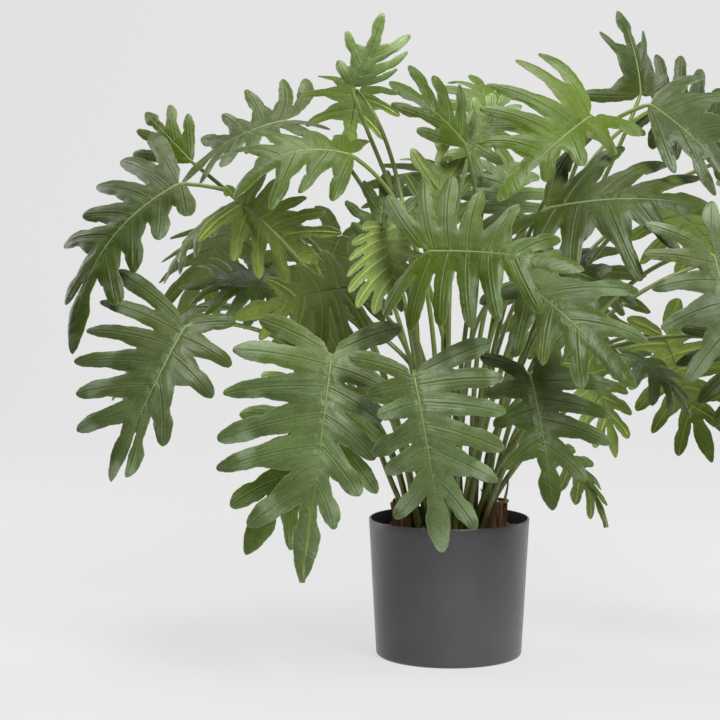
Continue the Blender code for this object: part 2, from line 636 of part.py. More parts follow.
def stalk_line(blade, slot, first_bow, last_bow):
    """The stalk's middle line, from the bottom of its hole to just short of the blade."""
    foot = Vector((slot.x, slot.y, slot.z - HOLE_DEPTH + GAP))
    mouth = Vector((slot.x, slot.y, slot.z + MOUTH))
    reach = blade.joint - mouth
    level = Vector((reach.x, reach.y, reach.z * LEVEL_RISE)).normalized()
    arrive = (level + blade.along * ARRIVE_ALONG).normalized()
    knee = blade.joint - arrive * KNEE
    span = (knee - mouth).length
    first = mouth + Vector((reach.x * FAN, reach.y * FAN, span * RISE)) + first_bow
    last = knee - arrive * span * LEVEL_OUT + last_bow
    line = [foot, mouth]
    for step in range(1, STALK_STEPS):
        s = step / (STALK_STEPS - 1)
        near = mouth * (1 - s) ** 3 + first * 3 * s * (1 - s) ** 2
        line.append(near + last * 3 * s * s * (1 - s) + knee * s ** 3)
    return line


def ring_round(middle, ahead, across, radius):
    """The corners of a ring about the way ahead, with its first corner on the side of across."""
    first = (across - ahead * across.dot(ahead)).normalized()
    second = ahead.cross(first)
    corners = []
    for side in range(STALK_SIDES):
        angle = math.tau * side / STALK_SIDES
        corners.append(middle + (first * math.cos(angle) + second * math.sin(angle)) * radius)
    return corners


def stalk_rings(line):
    """The stalk's rings of corners from foot to knee."""
    rings = []
    across = Vector((1, 0, 0))
    for number, middle in enumerate(line):
        before = line[max(number - 1, 0)]
        after = line[min(number + 1, len(line) - 1)]
        ahead = (after - before).normalized() if number > 1 else Vector((0, 0, 1))
        share = number / (len(line) - 1)
        ring = ring_round(middle, ahead, across, STALK_FOOT + (STALK_END - STALK_FOOT) * share)
        across = ring[0] - middle
        rings.append(ring)
    return rings


def zip_loops(points, one, other):
    """Triangles between two closed loops of corners that run the same way round, given as numbers into points."""
    pairs = [(i, j) for i in range(len(one)) for j in range(len(other))]

    def apart(pair):
        i, j = pair
        total = 0.0
        for step in range(len(one)):
            match = round(step * len(other) / len(one)) % len(other)
            total += (points[one[(i + step) % len(one)]] - points[other[(j + match) % len(other)]]).length
        return total

    i, j = min(pairs, key=apart)
    one = one[i:] + one[:i]
    other = other[j:] + other[:j]
    faces = []
    i = j = 0
    while i < len(one) or j < len(other):
        if j == len(other) or (i < len(one) and (i + 0.5) / len(one) <= (j + 0.5) / len(other)):
            faces.append((one[i % len(one)], one[(i + 1) % len(one)], other[j % len(other)]))
            i += 1
        else:
            faces.append((one[i % len(one)], other[(j + 1) % len(other)], other[j % len(other)]))
            j += 1
    return faces


def leaf_mesh(name, blade, line):
    """Blade and stalk in one closed mesh."""
    points, faces, opening = blade_mesh(blade, BLADE_THICK, closed=False)
    rings = []
    for ring in stalk_rings(line):
        rings.append(list(range(len(points), len(points) + STALK_SIDES)))
        points += ring
    for low, high in zip(rings, rings[1:]):
        for side in range(STALK_SIDES):
            after = (side + 1) % STALK_SIDES
            faces.append((low[side], low[after], high[after]))
            faces.append((low[side], high[after], high[side]))
    faces.append(tuple(rings[0]))
    faces += zip_loops(points, rings[-1], opening)
    mesh = mesh_of(name, points, faces)
    mesh.shade_smooth()
    mesh.set_sharp_from_angle(angle=math.radians(35))
    return mesh


def tree_of(points, faces):
    return BVHTree.FromPolygons(points, faces)


def samples_along(line, every):
    """Points at about this spacing along a line, from its second point on."""
    found = []
    for here, after in zip(line[1:], line[2:]):
        count = max(1, math.ceil((after - here).length / every))
        found += [here.lerp(after, step / count) for step in range(count)]
    return found + [line[-1]]


def settle_stalks(blades, solids):
    """A hole and a bow for each stalk, so that it keeps clear of every blade and of the stalks before it."""
    slots = all_slots()
    order = sorted(range(len(blades)), key=lambda i: -blades[i].joint.xy.length)
    furthest = blades[order[0]].joint.xy.length
    sheets = [blade_mesh(blade, BLADE_THICK)[:2] for blade in blades]
    taken = []
    lines = [None] * len(blades)
    for number in order:
        blade = blades[number]
        own = tree_of(*sheets[number])
        rest = joined_tree(sheets[:number] + sheets[number + 1:] + solids)
        goal = blade.joint.xy * (FOOT_SPREAD * SLOT_REACH / furthest)
        free = sorted(slots, key=lambda slot: (slot.xy - goal).length)
        best = (-math.inf, None, None)
        for line, slot in stalk_tries(blade, free[:STALK_TRIES]):
            room = stalk_room(line, blade, own, rest, taken, best[0])
            if room > best[0]:
                best = (room, line, slot)
            if room >= STALK_ROOM:
                break
        if best[0] < STALK_ROOM:
            print(f"stalk {number + 1} has only {best[0] / MM:.1f} mm round it")
        lines[number] = best[1]
        slots.remove(best[2])
        taken += list(zip(best[1][1:], best[1][2:]))
    return lines


def joined_tree(solids):
    """A search tree of several solids' (points, faces)."""
    points = []
    faces = []
    for own_points, own_faces in solids:
        faces += [tuple(corner + len(points) for corner in face) for face in own_faces]
        points += own_points
    return tree_of(points, faces)


def stalk_tries(blade, free):
    """Each line that a stalk may take, the plainest first: the hole, and how far each half is bent aside."""
    ways = [Vector()]
    for bow in STALK_BOWS:
        for way in range(STALK_BOW_WAYS):
            angle = math.tau * way / STALK_BOW_WAYS
            ways.append(Vector((math.cos(angle), math.sin(angle), 0)) * bow * MM)
    for first, last in sorted(((a, b) for a in ways for b in ways), key=bend_cost):
        for slot in free:
            yield stalk_line(blade, slot, first, last), slot


def bend_cost(bows):
    """How far a stalk is bent aside, and how much of an S that makes it."""
    first, last = bows
    return round(first.length + last.length + (first - last).length, 6)


def sheath_room(place, foot):
    """The room between a stalk's surface at place and the sheaths that it doesn't stand in."""
    room = math.inf
    for _, middle, height in SHEATHS:
        stands_in = math.dist(foot.xy, middle) < SHEATH_RADIUS
        if not stands_in and place.z < SOIL_TOP + SOIL_CROWN + height + STALK_ROOM:
            reach = SHEATH_RADIUS + SHEATH_LIP + STALK_FOOT
            room = min(room, math.dist(place.xy, middle) - reach)
    return room


def stalk_room(line, blade, own, rest, taken, least):
    """The room between a stalk's surface and all else, or less than least as soon as that is known."""
    room = math.inf
    near_foot = SOIL_TOP + FOOT_REACH
    for place in samples_along(line, SAMPLE_STEP):
        ease = FOOT_EASE if place.z < near_foot else 0.0
        beside = sheath_room(place, line[1])
        room = min(room, beside + ease)
        if place.z > near_foot:
            hit = rest.find_nearest(place, STALK_FOOT + STALK_ROOM)
            if hit[0] is not None:
                room = min(room, hit[3] - STALK_FOOT)
        if (place - blade.joint).length > OWN_REACH * blade.length:
            hit = own.find_nearest(place, STALK_FOOT + STALK_ROOM)
            if hit[0] is not None:
                room = min(room, hit[3] - STALK_FOOT)
        if room <= least:
            return room
    return min(room, room_to_stalks(line, taken))


def room_to_stalks(line, taken):
    """The room between a stalk's surface and those of the stalks set before it."""
    if not taken:
        return math.inf
    places = np.array(samples_along(line, SAMPLE_STEP))[:, None, :]
    starts = np.array([start for start, _ in taken])
    ways = np.array([end - start for start, end in taken])
    share = np.clip(((places - starts) * ways).sum(axis=2) / (ways * ways).sum(axis=1), 0, 1)
    gaps = np.linalg.norm(places - starts - ways * share[:, :, None], axis=2) - 2 * STALK_FOOT
    ease = np.where(places[:, :, 2] < SOIL_TOP + FOOT_REACH, FOOT_EASE, 0.0)
    return float((gaps + ease).min())


def main():
    clear_scene()
    pot = make_pot()
    pot_points = [corner.co.copy() for corner in pot.data.vertices]
    pot_solid = (pot_points, [list(face.vertices) for face in pot.data.polygons])
    blades = [Blade(leaf, number) for number, leaf in enumerate(LEAVES, 1)]
    lines = settle_stalks(blades, [pot_solid])
    for number, (blade, line) in enumerate(zip(blades, lines), 1):
        name = f"leaf_{number:02d}"
        add_object(name, leaf_mesh(name, blade, line), blade.leaf.tint)
    feet = [line[1] - Vector((0, 0, MOUTH)) for line in lines]
    make_soil(feet)
    for name, middle, height in SHEATHS:
        own = [foot for foot in feet if math.dist(foot.xy, middle) < SHEATH_RADIUS]
        make_sheath(name, middle, height, own)


main()
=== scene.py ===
"""Potted split-leaf philodendron: the fine leaves, stalks, pot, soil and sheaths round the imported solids.

Metres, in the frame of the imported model. Each leaf is made from the same table as its solid: its edge, its
veins and its crowned lobes are worked out on the blade's own plane, and its stalk follows the solid's stalk.
Some leaves have another tint than their solids.
"""

import math
import random
from collections import namedtuple
from functools import cache

import bpy
import numpy as np
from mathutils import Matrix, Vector
from mathutils.geometry import delaunay_2d_cdt

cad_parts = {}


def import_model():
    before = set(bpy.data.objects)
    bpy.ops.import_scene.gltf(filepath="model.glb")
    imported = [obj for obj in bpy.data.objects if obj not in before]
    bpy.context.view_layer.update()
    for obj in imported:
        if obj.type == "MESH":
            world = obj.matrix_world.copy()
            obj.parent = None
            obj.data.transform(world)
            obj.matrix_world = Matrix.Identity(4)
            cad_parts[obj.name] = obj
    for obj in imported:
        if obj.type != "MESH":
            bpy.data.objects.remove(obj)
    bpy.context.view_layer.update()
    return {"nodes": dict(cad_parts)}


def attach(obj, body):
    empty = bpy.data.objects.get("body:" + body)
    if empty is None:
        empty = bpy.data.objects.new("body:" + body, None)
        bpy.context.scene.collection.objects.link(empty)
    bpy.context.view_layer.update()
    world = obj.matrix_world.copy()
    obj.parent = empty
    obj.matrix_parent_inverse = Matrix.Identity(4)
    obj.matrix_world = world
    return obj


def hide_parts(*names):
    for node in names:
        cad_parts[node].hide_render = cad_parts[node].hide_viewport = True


MM = 0.001
SEED = 7

# The pot
POT_HEIGHT = 139 * MM
POT_TOP_RADIUS = 80.5 * MM
POT_FOOT_RADIUS = 73 * MM
POT_EDGE = 4 * MM  # rounding at the foot
POT_WALL = 2.2 * MM
POT_SIDES = 160
ARC_STEPS = 8

# The soil, and what lies on it
SOIL_TOP = 125 * MM
SOIL_CROWN = 3 * MM  # how much higher it is in the middle
SOIL_DEPTH = 12 * MM  # how far down its plug goes
SOIL_GAP = 0.3 * MM  # to the pot's wall
SOIL_RINGS = 34
SOIL_SIDES = 150
SOIL_WAVES = ((23 * MM, 0.35 * MM), (9 * MM, 0.30 * MM), (4 * MM, 0.16 * MM))  # length and height
CRUMBS = 1400
CRUMB_INSET = 8 * MM  # how far the crumbs stay from the pot's outer side
FIBRES = 150
FIBRE_STARTS = 68 * MM  # a fibre starts within this radius
FIBRE_ENDS = 72 * MM  # and goes no further out than this
FIBRE_STEPS = 12

# The brown sheaths: middle, and height above the soil
SHEATH_RADIUS = 13 * MM
SHEATHS = (
    ("sheath_left", (-44 * MM, 5 * MM), 29 * MM),
    ("sheath_middle", (-13 * MM, 24 * MM), 32 * MM),
    ("sheath_right", (45 * MM, -5 * MM), 31 * MM),
)
# Layers of strips: their radius as a share of the sheath's, their count, and where they end, as shares of
# the sheath's height
SHEATH_LAYERS = ((0.97, 13, 0.86, 1.0), (0.80, 10, 0.80, 0.97), (0.58, 8, 0.72, 0.90))
SHEATH_SUNK = 4 * MM
STRIP_ROWS = 9
STRIP_COLUMNS = 5
STRIP_THICK = 0.7 * MM
CURL_RADIUS = 1.9 * MM
CURL_STEPS = 26
STRAY_STEPS = 12  # of the fibres that stand up from a sheath

# The blades' form that their solids have too
NOTCH = 2.6 * MM  # half the blade's width where the stalk meets it
RIB_END = 0.72  # share of the midrib where the end lobe starts
LOBE_WAIST = 0.6  # where a lobe is widest
LOBE_BEND = 0.07
TIP_CUT = -0.10  # where on the end lobe the last cut ends
TIP_WAIST = 0.16  # where the end lobe is widest
VEIN_CROWD = 1.45  # above 1, the veins start closer together near the stalk
FAN_MIDDLE = 0.35  # the lobes stand in order round this share of the leaf's length
DROP = (0.0, 0.05)  # how far a lobe's end hangs back from the blade
EYE = Vector((0, -2299 * MM, 489 * MM))
CUTS = (0.26, 0.38)  # where a cut ends, as a share of the lobe from the midrib
FIRST_CUT = (0.34, 0.46)
LAST_CUT = (0.34, 0.42)
LOBE_WIDE = 9.4 * MM  # half the width of a lobe
LOBE_SHARE = 0.41  # or this share of the room to its neighbour, where that is less
TIP_WIDE = 13 * MM  # the same for the end lobe
TIP_SHARE = 0.50
LOBE_VARIES = (0.86, 1.12)
FULL_LEAF = 200 * MM  # the length of a leaf whose lobes are that wide
LOBE_GROWS = 0.62  # the power of a leaf's length that the width of its lobes follows

# The blades' fine form
BLADE_THICK = 0.9 * MM
LOBE_SWELL = 0.03  # a lobe is this much wider past its waist
SWELL_SPAN = 0.7  # over this share of the way to its end
END_POWERS = ((2.0, 3.3), (0.48, 0.62))  # how round a lobe's end is
TIP_POWERS = ((1.6, 2.2), (0.52, 0.62))
OUTER = (0.14, 0.30, 0.46, 0.60, 0.72, 0.82, 0.90, 0.955, 0.99)  # where a lobe's outer edge is laid out
INNER = (0.92, 0.74, 0.56, 0.40, 0.26, 0.13, 0.05)  # and where a cut's edge is, from its mouth to its end
FIRST_EDGE = (0.15, 0.3, 0.45)  # and the edge between the stalk and the first lobe
FIRST_OPEN = 0.8  # how soon that edge leaves the stalk
ROOM_HERE = (LOBE_WAIST, 0.8, 1.0)  # where the room between two lobes is measured, on the one
ROOM_THERE = (0.5, LOBE_WAIST, 0.75, 0.9, 1.0)  # and on the other
SLIT = 1.0 * MM  # half the width of a cut near its inner end
SLIT_OPEN = 1.4  # above 1, a cut stays narrow for longer
SLIT_MOST = 0.36  # half of a cut's width is at most this share of the way between two lobes
SLIT_END = (0.1, 0.85)  # below this share a cut is narrower by this factor
EDGE_STEP = 2.2 * MM
VEIN_STEP = 3.0 * MM
GRID_STEP = 3.4 * MM
RIB_START = 1.5 * MM  # the midrib's points start this far up it
VEIN_START = 2.0 * MM  # and a vein's points this far along it
RIB_CLEAR = 0.6 * MM  # from the midrib's points to the edge
VEIN_CLEAR = 0.8 * MM  # and from a vein's
BESIDE_RIB = 1.8 * MM  # from the points beside a vein to the midrib
BESIDE_VEIN = 1.6 * MM  # and to another vein
VEIN_HALF = 1.1 * MM  # half the width of a vein's groove
STREAK_LONG = 14 * MM  # a streak's length, for a width of 1 mm
GROOVE = 0.25 * MM  # depth of a vein on the upper side
RIDGE = 0.55 * MM  # height of a vein on the underside
GROOVE_FADE = 5 * MM  # both fade this close to the edge
CROWN = 0.13  # rise of a lobe's two halves, as a share of their width
EDGE_FALL = 0.13  # fall of a lobe's edges, likewise
CROWN_MOST = 9 * MM  # a half lobe wider than this crowns no more
TWIST = 0.38  # most that a lobe is turned about its vein
TWIST_MOST = 12 * MM  # further than this from its vein it turns no more
CURL = (-0.020, 0.045)  # how far a lobe's end bends down, as a share of the leaf's length
NEAR = 0.6 * MM  # below this distance, a lobe's part in the blade's form hardly grows
WAVE = 0.5 * MM  # the edges' gentle waves
WAVE_LENGTH = 17 * MM
WAVE_FADE = 8 * MM
RIM_OUT = 0.7  # how far the rim bulges, as a share of half the thickness

# The stalks
STALK_FOOT = 2.9 * MM
STALK_END = 2.1 * MM
STALK_SIDES = 12
STALK_RINGS = 34
SOLID_RINGS = 6  # of the solid's stalk
JOIN_RINGS = 5  # between the stalk and the midrib
RIB_RINGS = 30
RIB_RADIUS = (1.55 * MM, 0.35 * MM)  # the midrib, at the stalk and at the tip
RIB_RAISED = 0.1 * MM
CHANNEL = 0.22  # depth of the channel along a stalk's upper side, as a share of its radius
FAR = 9.0  # what a stalk's distance to a blade's rim is given as, in mm

# A leaf's materials, by number
TOP, UNDER, RIM, STALK, MIDRIB = range(5)

# The room: a pale floor that sweeps up into a wall
FLOOR_GLOW = 0.64
WALL_GLOW = 0.675
FLOOR_COLOUR = (0.14, 0.14, 0.14)
FLOOR_FRONT = -5.0
FLOOR_WIDE = 5.0  # to each side
FLOOR_BACK = 1.6  # where the floor starts to turn up
FLOOR_BRIGHTENS = 1.0  # and where its glow starts to change to the wall's
BEND = 1.2  # radius of the turn
WALL_HEIGHT = 3.0
# Where the glow fades beside, before and above what the camera sees: from, to, and the shares there
ASIDE = (1.05, 1.9, 1.0, 0.3)
IN_FRONT = (-1.0, -0.35, 0.3, 1.0)
ABOVE = (1.1, 1.9, 1.0, 0.3)

# Soft lights: place, the point that they aim at, size and power
WORLD_LIGHT = 0.06
LIGHTS = {
    "key": ((1.0, -1.9, 1.9), (0, 0, 0.35), (0.9, 1.4), 82),
    "top": ((-0.3, 0.4, 2.3), (0, 0, 0.3), (1.5, 1.5), 32),
    "left": ((-1.5, 0.8, 0.8), (0, 0, 0.3), (0.7, 1.6), 15),
    "right": ((1.5, 0.8, 0.8), (0, 0, 0.3), (0.7, 1.6), 11),
}

# The camera
SENSOR = 36.0
LENS = 115.47
AIM = (-0.0895, 0, 0.297)

# joint and tip: (x, z, y) in mm, with x and z as seen from EYE on the plane through the pot's middle, and
# y the depth. faces: the way the upper side looks. lobes: the lobe ends, (x, z) as seen; a side with fewer
# than two gets plain ones. arch, sway and droop bend the blade along, sideways and across. A leaf with more
# of whole has shorter cuts.
Leaf = namedtuple("Leaf", "joint tip faces lobes tint arch sway droop sides wide whole",
                  defaults=((), "mid", 0.08, 0.0, 0.35, 6, 0.5, 0.0))

LEAVES = (
    # Low and in front
    Leaf((-36, 282, -215), (-6, 103, -205), (0.1, -0.95, 0.3),
         ((-100, 300), (-82, 262), (-72, 240), (-76, 200), (-63, 182), (-53, 136),
          (41, 315), (54, 279), (56, 245), (54, 208), (50, 174), (28, 126)), "mid"),
    Leaf((-118, 303, -175), (-148, 72, -200), (0.1, -0.95, 0.25),
         ((-190, 338), (-217, 307), (-227, 263), (-233, 216), (-234, 186), (-203, 128),
          (-48, 330), (-62, 268), (-68, 235), (-74, 197), (-90, 160), (-116, 129)), "mid"),
    Leaf((80, 284, -135), (104, 147, -160), (0.15, -0.95, 0.3),
         ((30, 300), (36, 262), (45, 232), (55, 188),
          (124, 332), (165, 272), (163, 241), (160, 214), (137, 177)), "dark"),
    Leaf((-265, 331, -70), (-341, 173, -110), (0.05, -0.93, 0.35),
         ((-334, 385), (-351, 356), (-365, 327), (-377, 294), (-376, 262), (-376, 226),
          (-214, 335), (-219, 292), (-238, 259), (-288, 209), (-326, 178)), "grey"),
    Leaf((-23, 405, -225), (133, 388, -240), (0.05, -0.85, 0.5),
         ((-62, 461), (-25, 483), (2, 479), (31, 466), (68, 453), (109, 421),
          (-65, 341), (-39, 330), (-9, 331), (22, 331), (49, 336), (91, 345)), "light"),
    Leaf((70, 376, -180), (185, 270, -210), (0.15, -0.9, 0.4),
         ((110, 405), (187, 366), (198, 317),
          (30, 352), (66, 303), (93, 293), (133, 270)), "dark"),
    Leaf((261, 403, -150), (290, 256, -190), (0.1, -0.95, 0.25),
         ((259, 456), (193, 433), (191, 403), (202, 370), (211, 330), (237, 276),
          (322, 440), (352, 400), (362, 355), (350, 310), (324, 272)), "grey"),
    Leaf((140, 540, -60), (47, 456, -120), (0.0, -0.9, 0.45),
         ((91, 619), (64, 596), (40, 568), (29, 547), (28, 516),
          (192, 520), (164, 504), (130, 490), (94, 478)), "light"),
    # The left side
    Leaf((-269, 473, -20), (-379, 302, -60), (-0.45, -0.8, 0.35),
         ((-302, 525), (-330, 497), (-353, 471), (-366, 440), (-390, 414), (-385, 352),
          (-262, 440), (-290, 415), (-318, 385), (-335, 352)), "dark", 0.1, 0.10),
    Leaf((-98, 501, -70), (-215, 458, -110), (-0.1, -0.6, 0.8),
         ((-108, 540), (-138, 550), (-176, 562), (-220, 547), (-238, 500),
          (-118, 458), (-150, 464), (-180, 448)), "light", 0.12, 0.14),
    Leaf((-207, 453, -52), (-132, 393, -14), (-0.25, 0.95, 0.2),
         ((-224, 471), (-184, 485), (-165, 479), (-143, 459), (-124, 445), (-108, 424),
          (-252, 416), (-216, 396), (-190, 378), (-160, 366)), "under", 0.06),
    Leaf((-101, 369, -75), (-215, 338, -44), (-0.1, 0.9, 0.3),
         ((-96, 422), (-125, 408), (-152, 394), (-185, 380)), "under", 0.1),
    Leaf((-172, 366, 20), (-270, 369, 40), (0.0, -0.6, 0.8),
         ((-165, 425), (-206, 428), (-235, 411), (-258, 394)), "light"),
    Leaf((-214, 454, 0), (-286, 373, -10), (-0.6, -0.25, 0.75), (), "light", 0.1, 0.0, 0.5, 5, 0.42),
    Leaf((-258, 495, 86), (-303, 543, 131), (-0.6, -0.4, 0.7),
         ((-316, 503), (-311, 525), (-262, 543), (-279, 551)), "light", 0.1),
    Leaf((-163, 535, 60), (-268, 472, 40), (-0.3, -0.42, 0.85),
         ((-150, 604), (-178, 588), (-203, 566), (-226, 540), (-247, 517)), "dark", 0.1, 0.0, -0.25),
    Leaf((-92, 566, 42), (-102, 505, 94), (0.0, 0.75, 0.6),
         ((-150, 560), (-130, 584), (-143, 532), (-52, 562), (-50, 540), (-66, 517)), "pale", 0.1),
    Leaf((-98, 570, -9), (-67, 641, -34), (0.55, -0.85, 0.1),
         ((-52, 585), (-41, 601), (-40, 619), (-110, 594), (-102, 622)), "mid"),
    # The middle, behind the front leaves
    Leaf((-65, 430, -150), (-48, 345, -165), (-0.5, 0.8, 0.2),
         ((-88, 428), (-97, 413), (-101, 396), (-103, 380), (-101, 365), (-93, 350), (-76, 342)),
         "pale", 0.06, 0.0, 0.35, 6, 0.5, 0.65),
    Leaf((-15, 421, 45), (-6, 541, 95), (0.1, 0.8, 0.5),
         ((-38, 508), (-44, 482), (-40, 455), (16, 510), (24, 484), (20, 456)), "pale", 0.06),
    Leaf((15, 511, -40), (-61, 573, -60), (-0.1, -0.75, 0.65),
         ((24, 545), (8, 570), (-16, 580), (-40, 590), (-58, 552), (-34, 526)), "light", 0.1),
    Leaf((20, 505, 60), (62, 566, 90), (0.1, -0.8, 0.6), (), "grey", 0.1, 0.0, 0.4, 5, 0.45),
    Leaf((60, 436, 57), (45, 505, 142), (0.1, -0.6, 0.8), (), "mid", 0.1, 0.0, 0.35, 6, 0.5),
    Leaf((95, 392, -70), (186, 352, -60), (0.2, -0.75, 0.65), (), "dark", 0.1, 0.0, 0.4, 6, 0.46),
    # The right side
    Leaf((95, 448, -89), (261, 448, -74), (0.1, -0.8, 0.6),
         ((120, 505), (172, 512), (215, 497), (248, 478),
          (43, 415), (80, 392), (120, 380), (190, 376), (228, 402)), "dark", 0.1),
    Leaf((196, 551, -48), (285, 466, -78), (0.2, -0.8, 0.5),
         ((250, 580), (282, 558), (302, 525), (222, 484), (262, 462)), "grey"),
    Leaf((187, 560, 60), (164, 642, 80), (0.6, -0.75, 0.2),
         ((146, 622), (128, 560), (189, 622), (214, 578)), "dark"),
    Leaf((205, 548, 100), (300, 525, 125), (0.1, -0.8, 0.5),
         ((190, 622), (204, 606), (227, 599), (246, 584), (268, 568)), "dark", 0.1),
    Leaf((176, 303, -30), (240, 240, -50), (0.2, -0.5, 0.85), (), "mid", 0.14, 0.0, 0.6, 5, 0.4),
    Leaf((214, 321, 20), (262, 196, 5), (-0.1, 0.8, 0.5), (), "under", 0.12, 0.0, 0.5, 6, 0.45),
    Leaf((136, 290, -48), (166, 200, -58), (0.5, 0.75, 0.4), (), "pale", 0.1, 0.0, 0.4, 5, 0.5),
    Leaf((108, 208, 30), (158, 130, 10), (0.5, 0.6, 0.6), (), "pale", 0.1, 0.0, 0.4, 5, 0.42),
    Leaf((-112, 262, -95), (-205, 100, -120), (0.0, -0.9, 0.4), (), "dark", 0.08, 0.0, 0.35, 5, 0.46),
    # The right side past the photograph's edge
    Leaf((300, 500, 10), (392, 400, -10), (0.4, -0.7, 0.6), (), "mid", 0.12, 0.0, 0.4, 6, 0.48),
    Leaf((285, 318, -60), (366, 178, -90), (0.35, -0.85, 0.4), (), "dark", 0.1, 0.0, 0.35, 6, 0.5),
    Leaf((320, 400, 90), (388, 290, 110), (0.7, 0.1, 0.7), (), "mid", 0.12, 0.0, 0.4, 6, 0.5),
    # The back
    Leaf((-200, 440, 150), (-270, 330, 220), (-0.5, 0.6, 0.6), (), "dark", 0.12, 0.0, 0.4, 6, 0.5),
    Leaf((-110, 420, 210), (-150, 275, 280), (-0.2, 0.9, 0.4), (), "mid", 0.1, 0.0, 0.35, 6, 0.5),
    Leaf((-10, 490, 200), (-20, 385, 320), (0.0, 0.8, 0.6), (), "mid", 0.12, 0.0, 0.35, 6, 0.5),
    Leaf((110, 400, 210), (150, 255, 270), (0.2, 0.9, 0.4), (), "dark", 0.1, 0.0, 0.35, 6, 0.5),
    Leaf((215, 450, 190), (290, 350, 260), (0.5, 0.6, 0.6), (), "mid", 0.12, 0.0, 0.4, 6, 0.5),
    Leaf((-250, 350, 110), (-330, 240, 160), (-0.7, 0.3, 0.6), (), "mid", 0.1, 0.0, 0.4, 6, 0.46),
    Leaf((40, 520, 154), (20, 580, 254), (0.0, 0.4, 0.9), (), "light", 0.12, 0.0, 0.4, 6, 0.5),
    # One more in the middle
    Leaf((-72, 413, 5), (-62, 486, 27), (0.0, -0.8, 0.6),
         ((-98, 434), (-104, 456), (-86, 476), (-46, 482), (-32, 462), (-40, 436)), "mid", 0.08),
)

# A side's plain lobe ends, from the stalk to the tip, as shares of the leaf's length along and across it
PLAIN_LOBES = {
    5: ((-0.16, 0.62), (0.12, 0.92), (0.38, 1.0), (0.62, 0.82), (0.84, 0.46)),
    6: ((-0.24, 0.50), (-0.02, 0.80), (0.22, 1.0), (0.44, 0.98), (0.66, 0.78), (0.86, 0.46)),
}
PLAIN_JITTER = 0.03
PLAIN_REACH = (0.9, 1.06)
LOBE_BACK = -0.42  # the furthest that a lobe's end may lie behind the stalk's joint
LOBE_OUT = 0.80  # and to the side of it

# Leaf colours: upper side, then underside; the undersides are paler and yellower, and brighter still as
# painted light that shines through the leaf
TINTS = {
    "dark": ((0.052, 0.084, 0.013), (0.130, 0.185, 0.024)),
    "mid": ((0.075, 0.118, 0.036), (0.140, 0.200, 0.026)),
    "light": ((0.082, 0.142, 0.012), (0.165, 0.240, 0.026)),
    "grey": ((0.064, 0.098, 0.030), (0.130, 0.180, 0.044)),
    "under": ((0.074, 0.120, 0.020), (0.215, 0.290, 0.050)),
    "pale": ((0.082, 0.140, 0.016), (0.222, 0.305, 0.072)),
}
# How strong the painted whitish sheen, a painted highlight, on a leaf's upper side is
PAINTED_SHEEN = {"dark": 0.55, "mid": 0.8, "light": 0.35, "grey": 0.75, "under": 0.4, "pale": 0.4}
# Leaves drawn brighter or darker than their tint: partly their own colour, partly painted light and shade for
# how lit each one is
SHADES_AND_PAINTED_LIGHT = {
    2: 1.15, 5: 0.66, 6: 1.05, 7: 0.95, 8: 0.9, 9: 0.8, 10: 0.78, 13: 0.75, 15: 0.72, 17: 2.3, 18: 2.1,
    21: 0.66, 22: 2.3, 23: 1.7, 25: 0.85, 26: 0.8, 27: 0.75, 28: 0.62, 29: 1.3, 30: 1.25, 31: 1.5, 32: 1.5,
    33: 2.6, 37: 1.4, 41: 2.1, 44: 1.2,
}


def seen(x, z, y):
    """The point at depth y, in mm, on the sight line through (x, z) on the plane through the pot's middle."""
    on_plane = Vector((x * MM, 0, z * MM))
    return EYE + (on_plane - EYE) * ((y * MM - EYE.y) / -EYE.y)


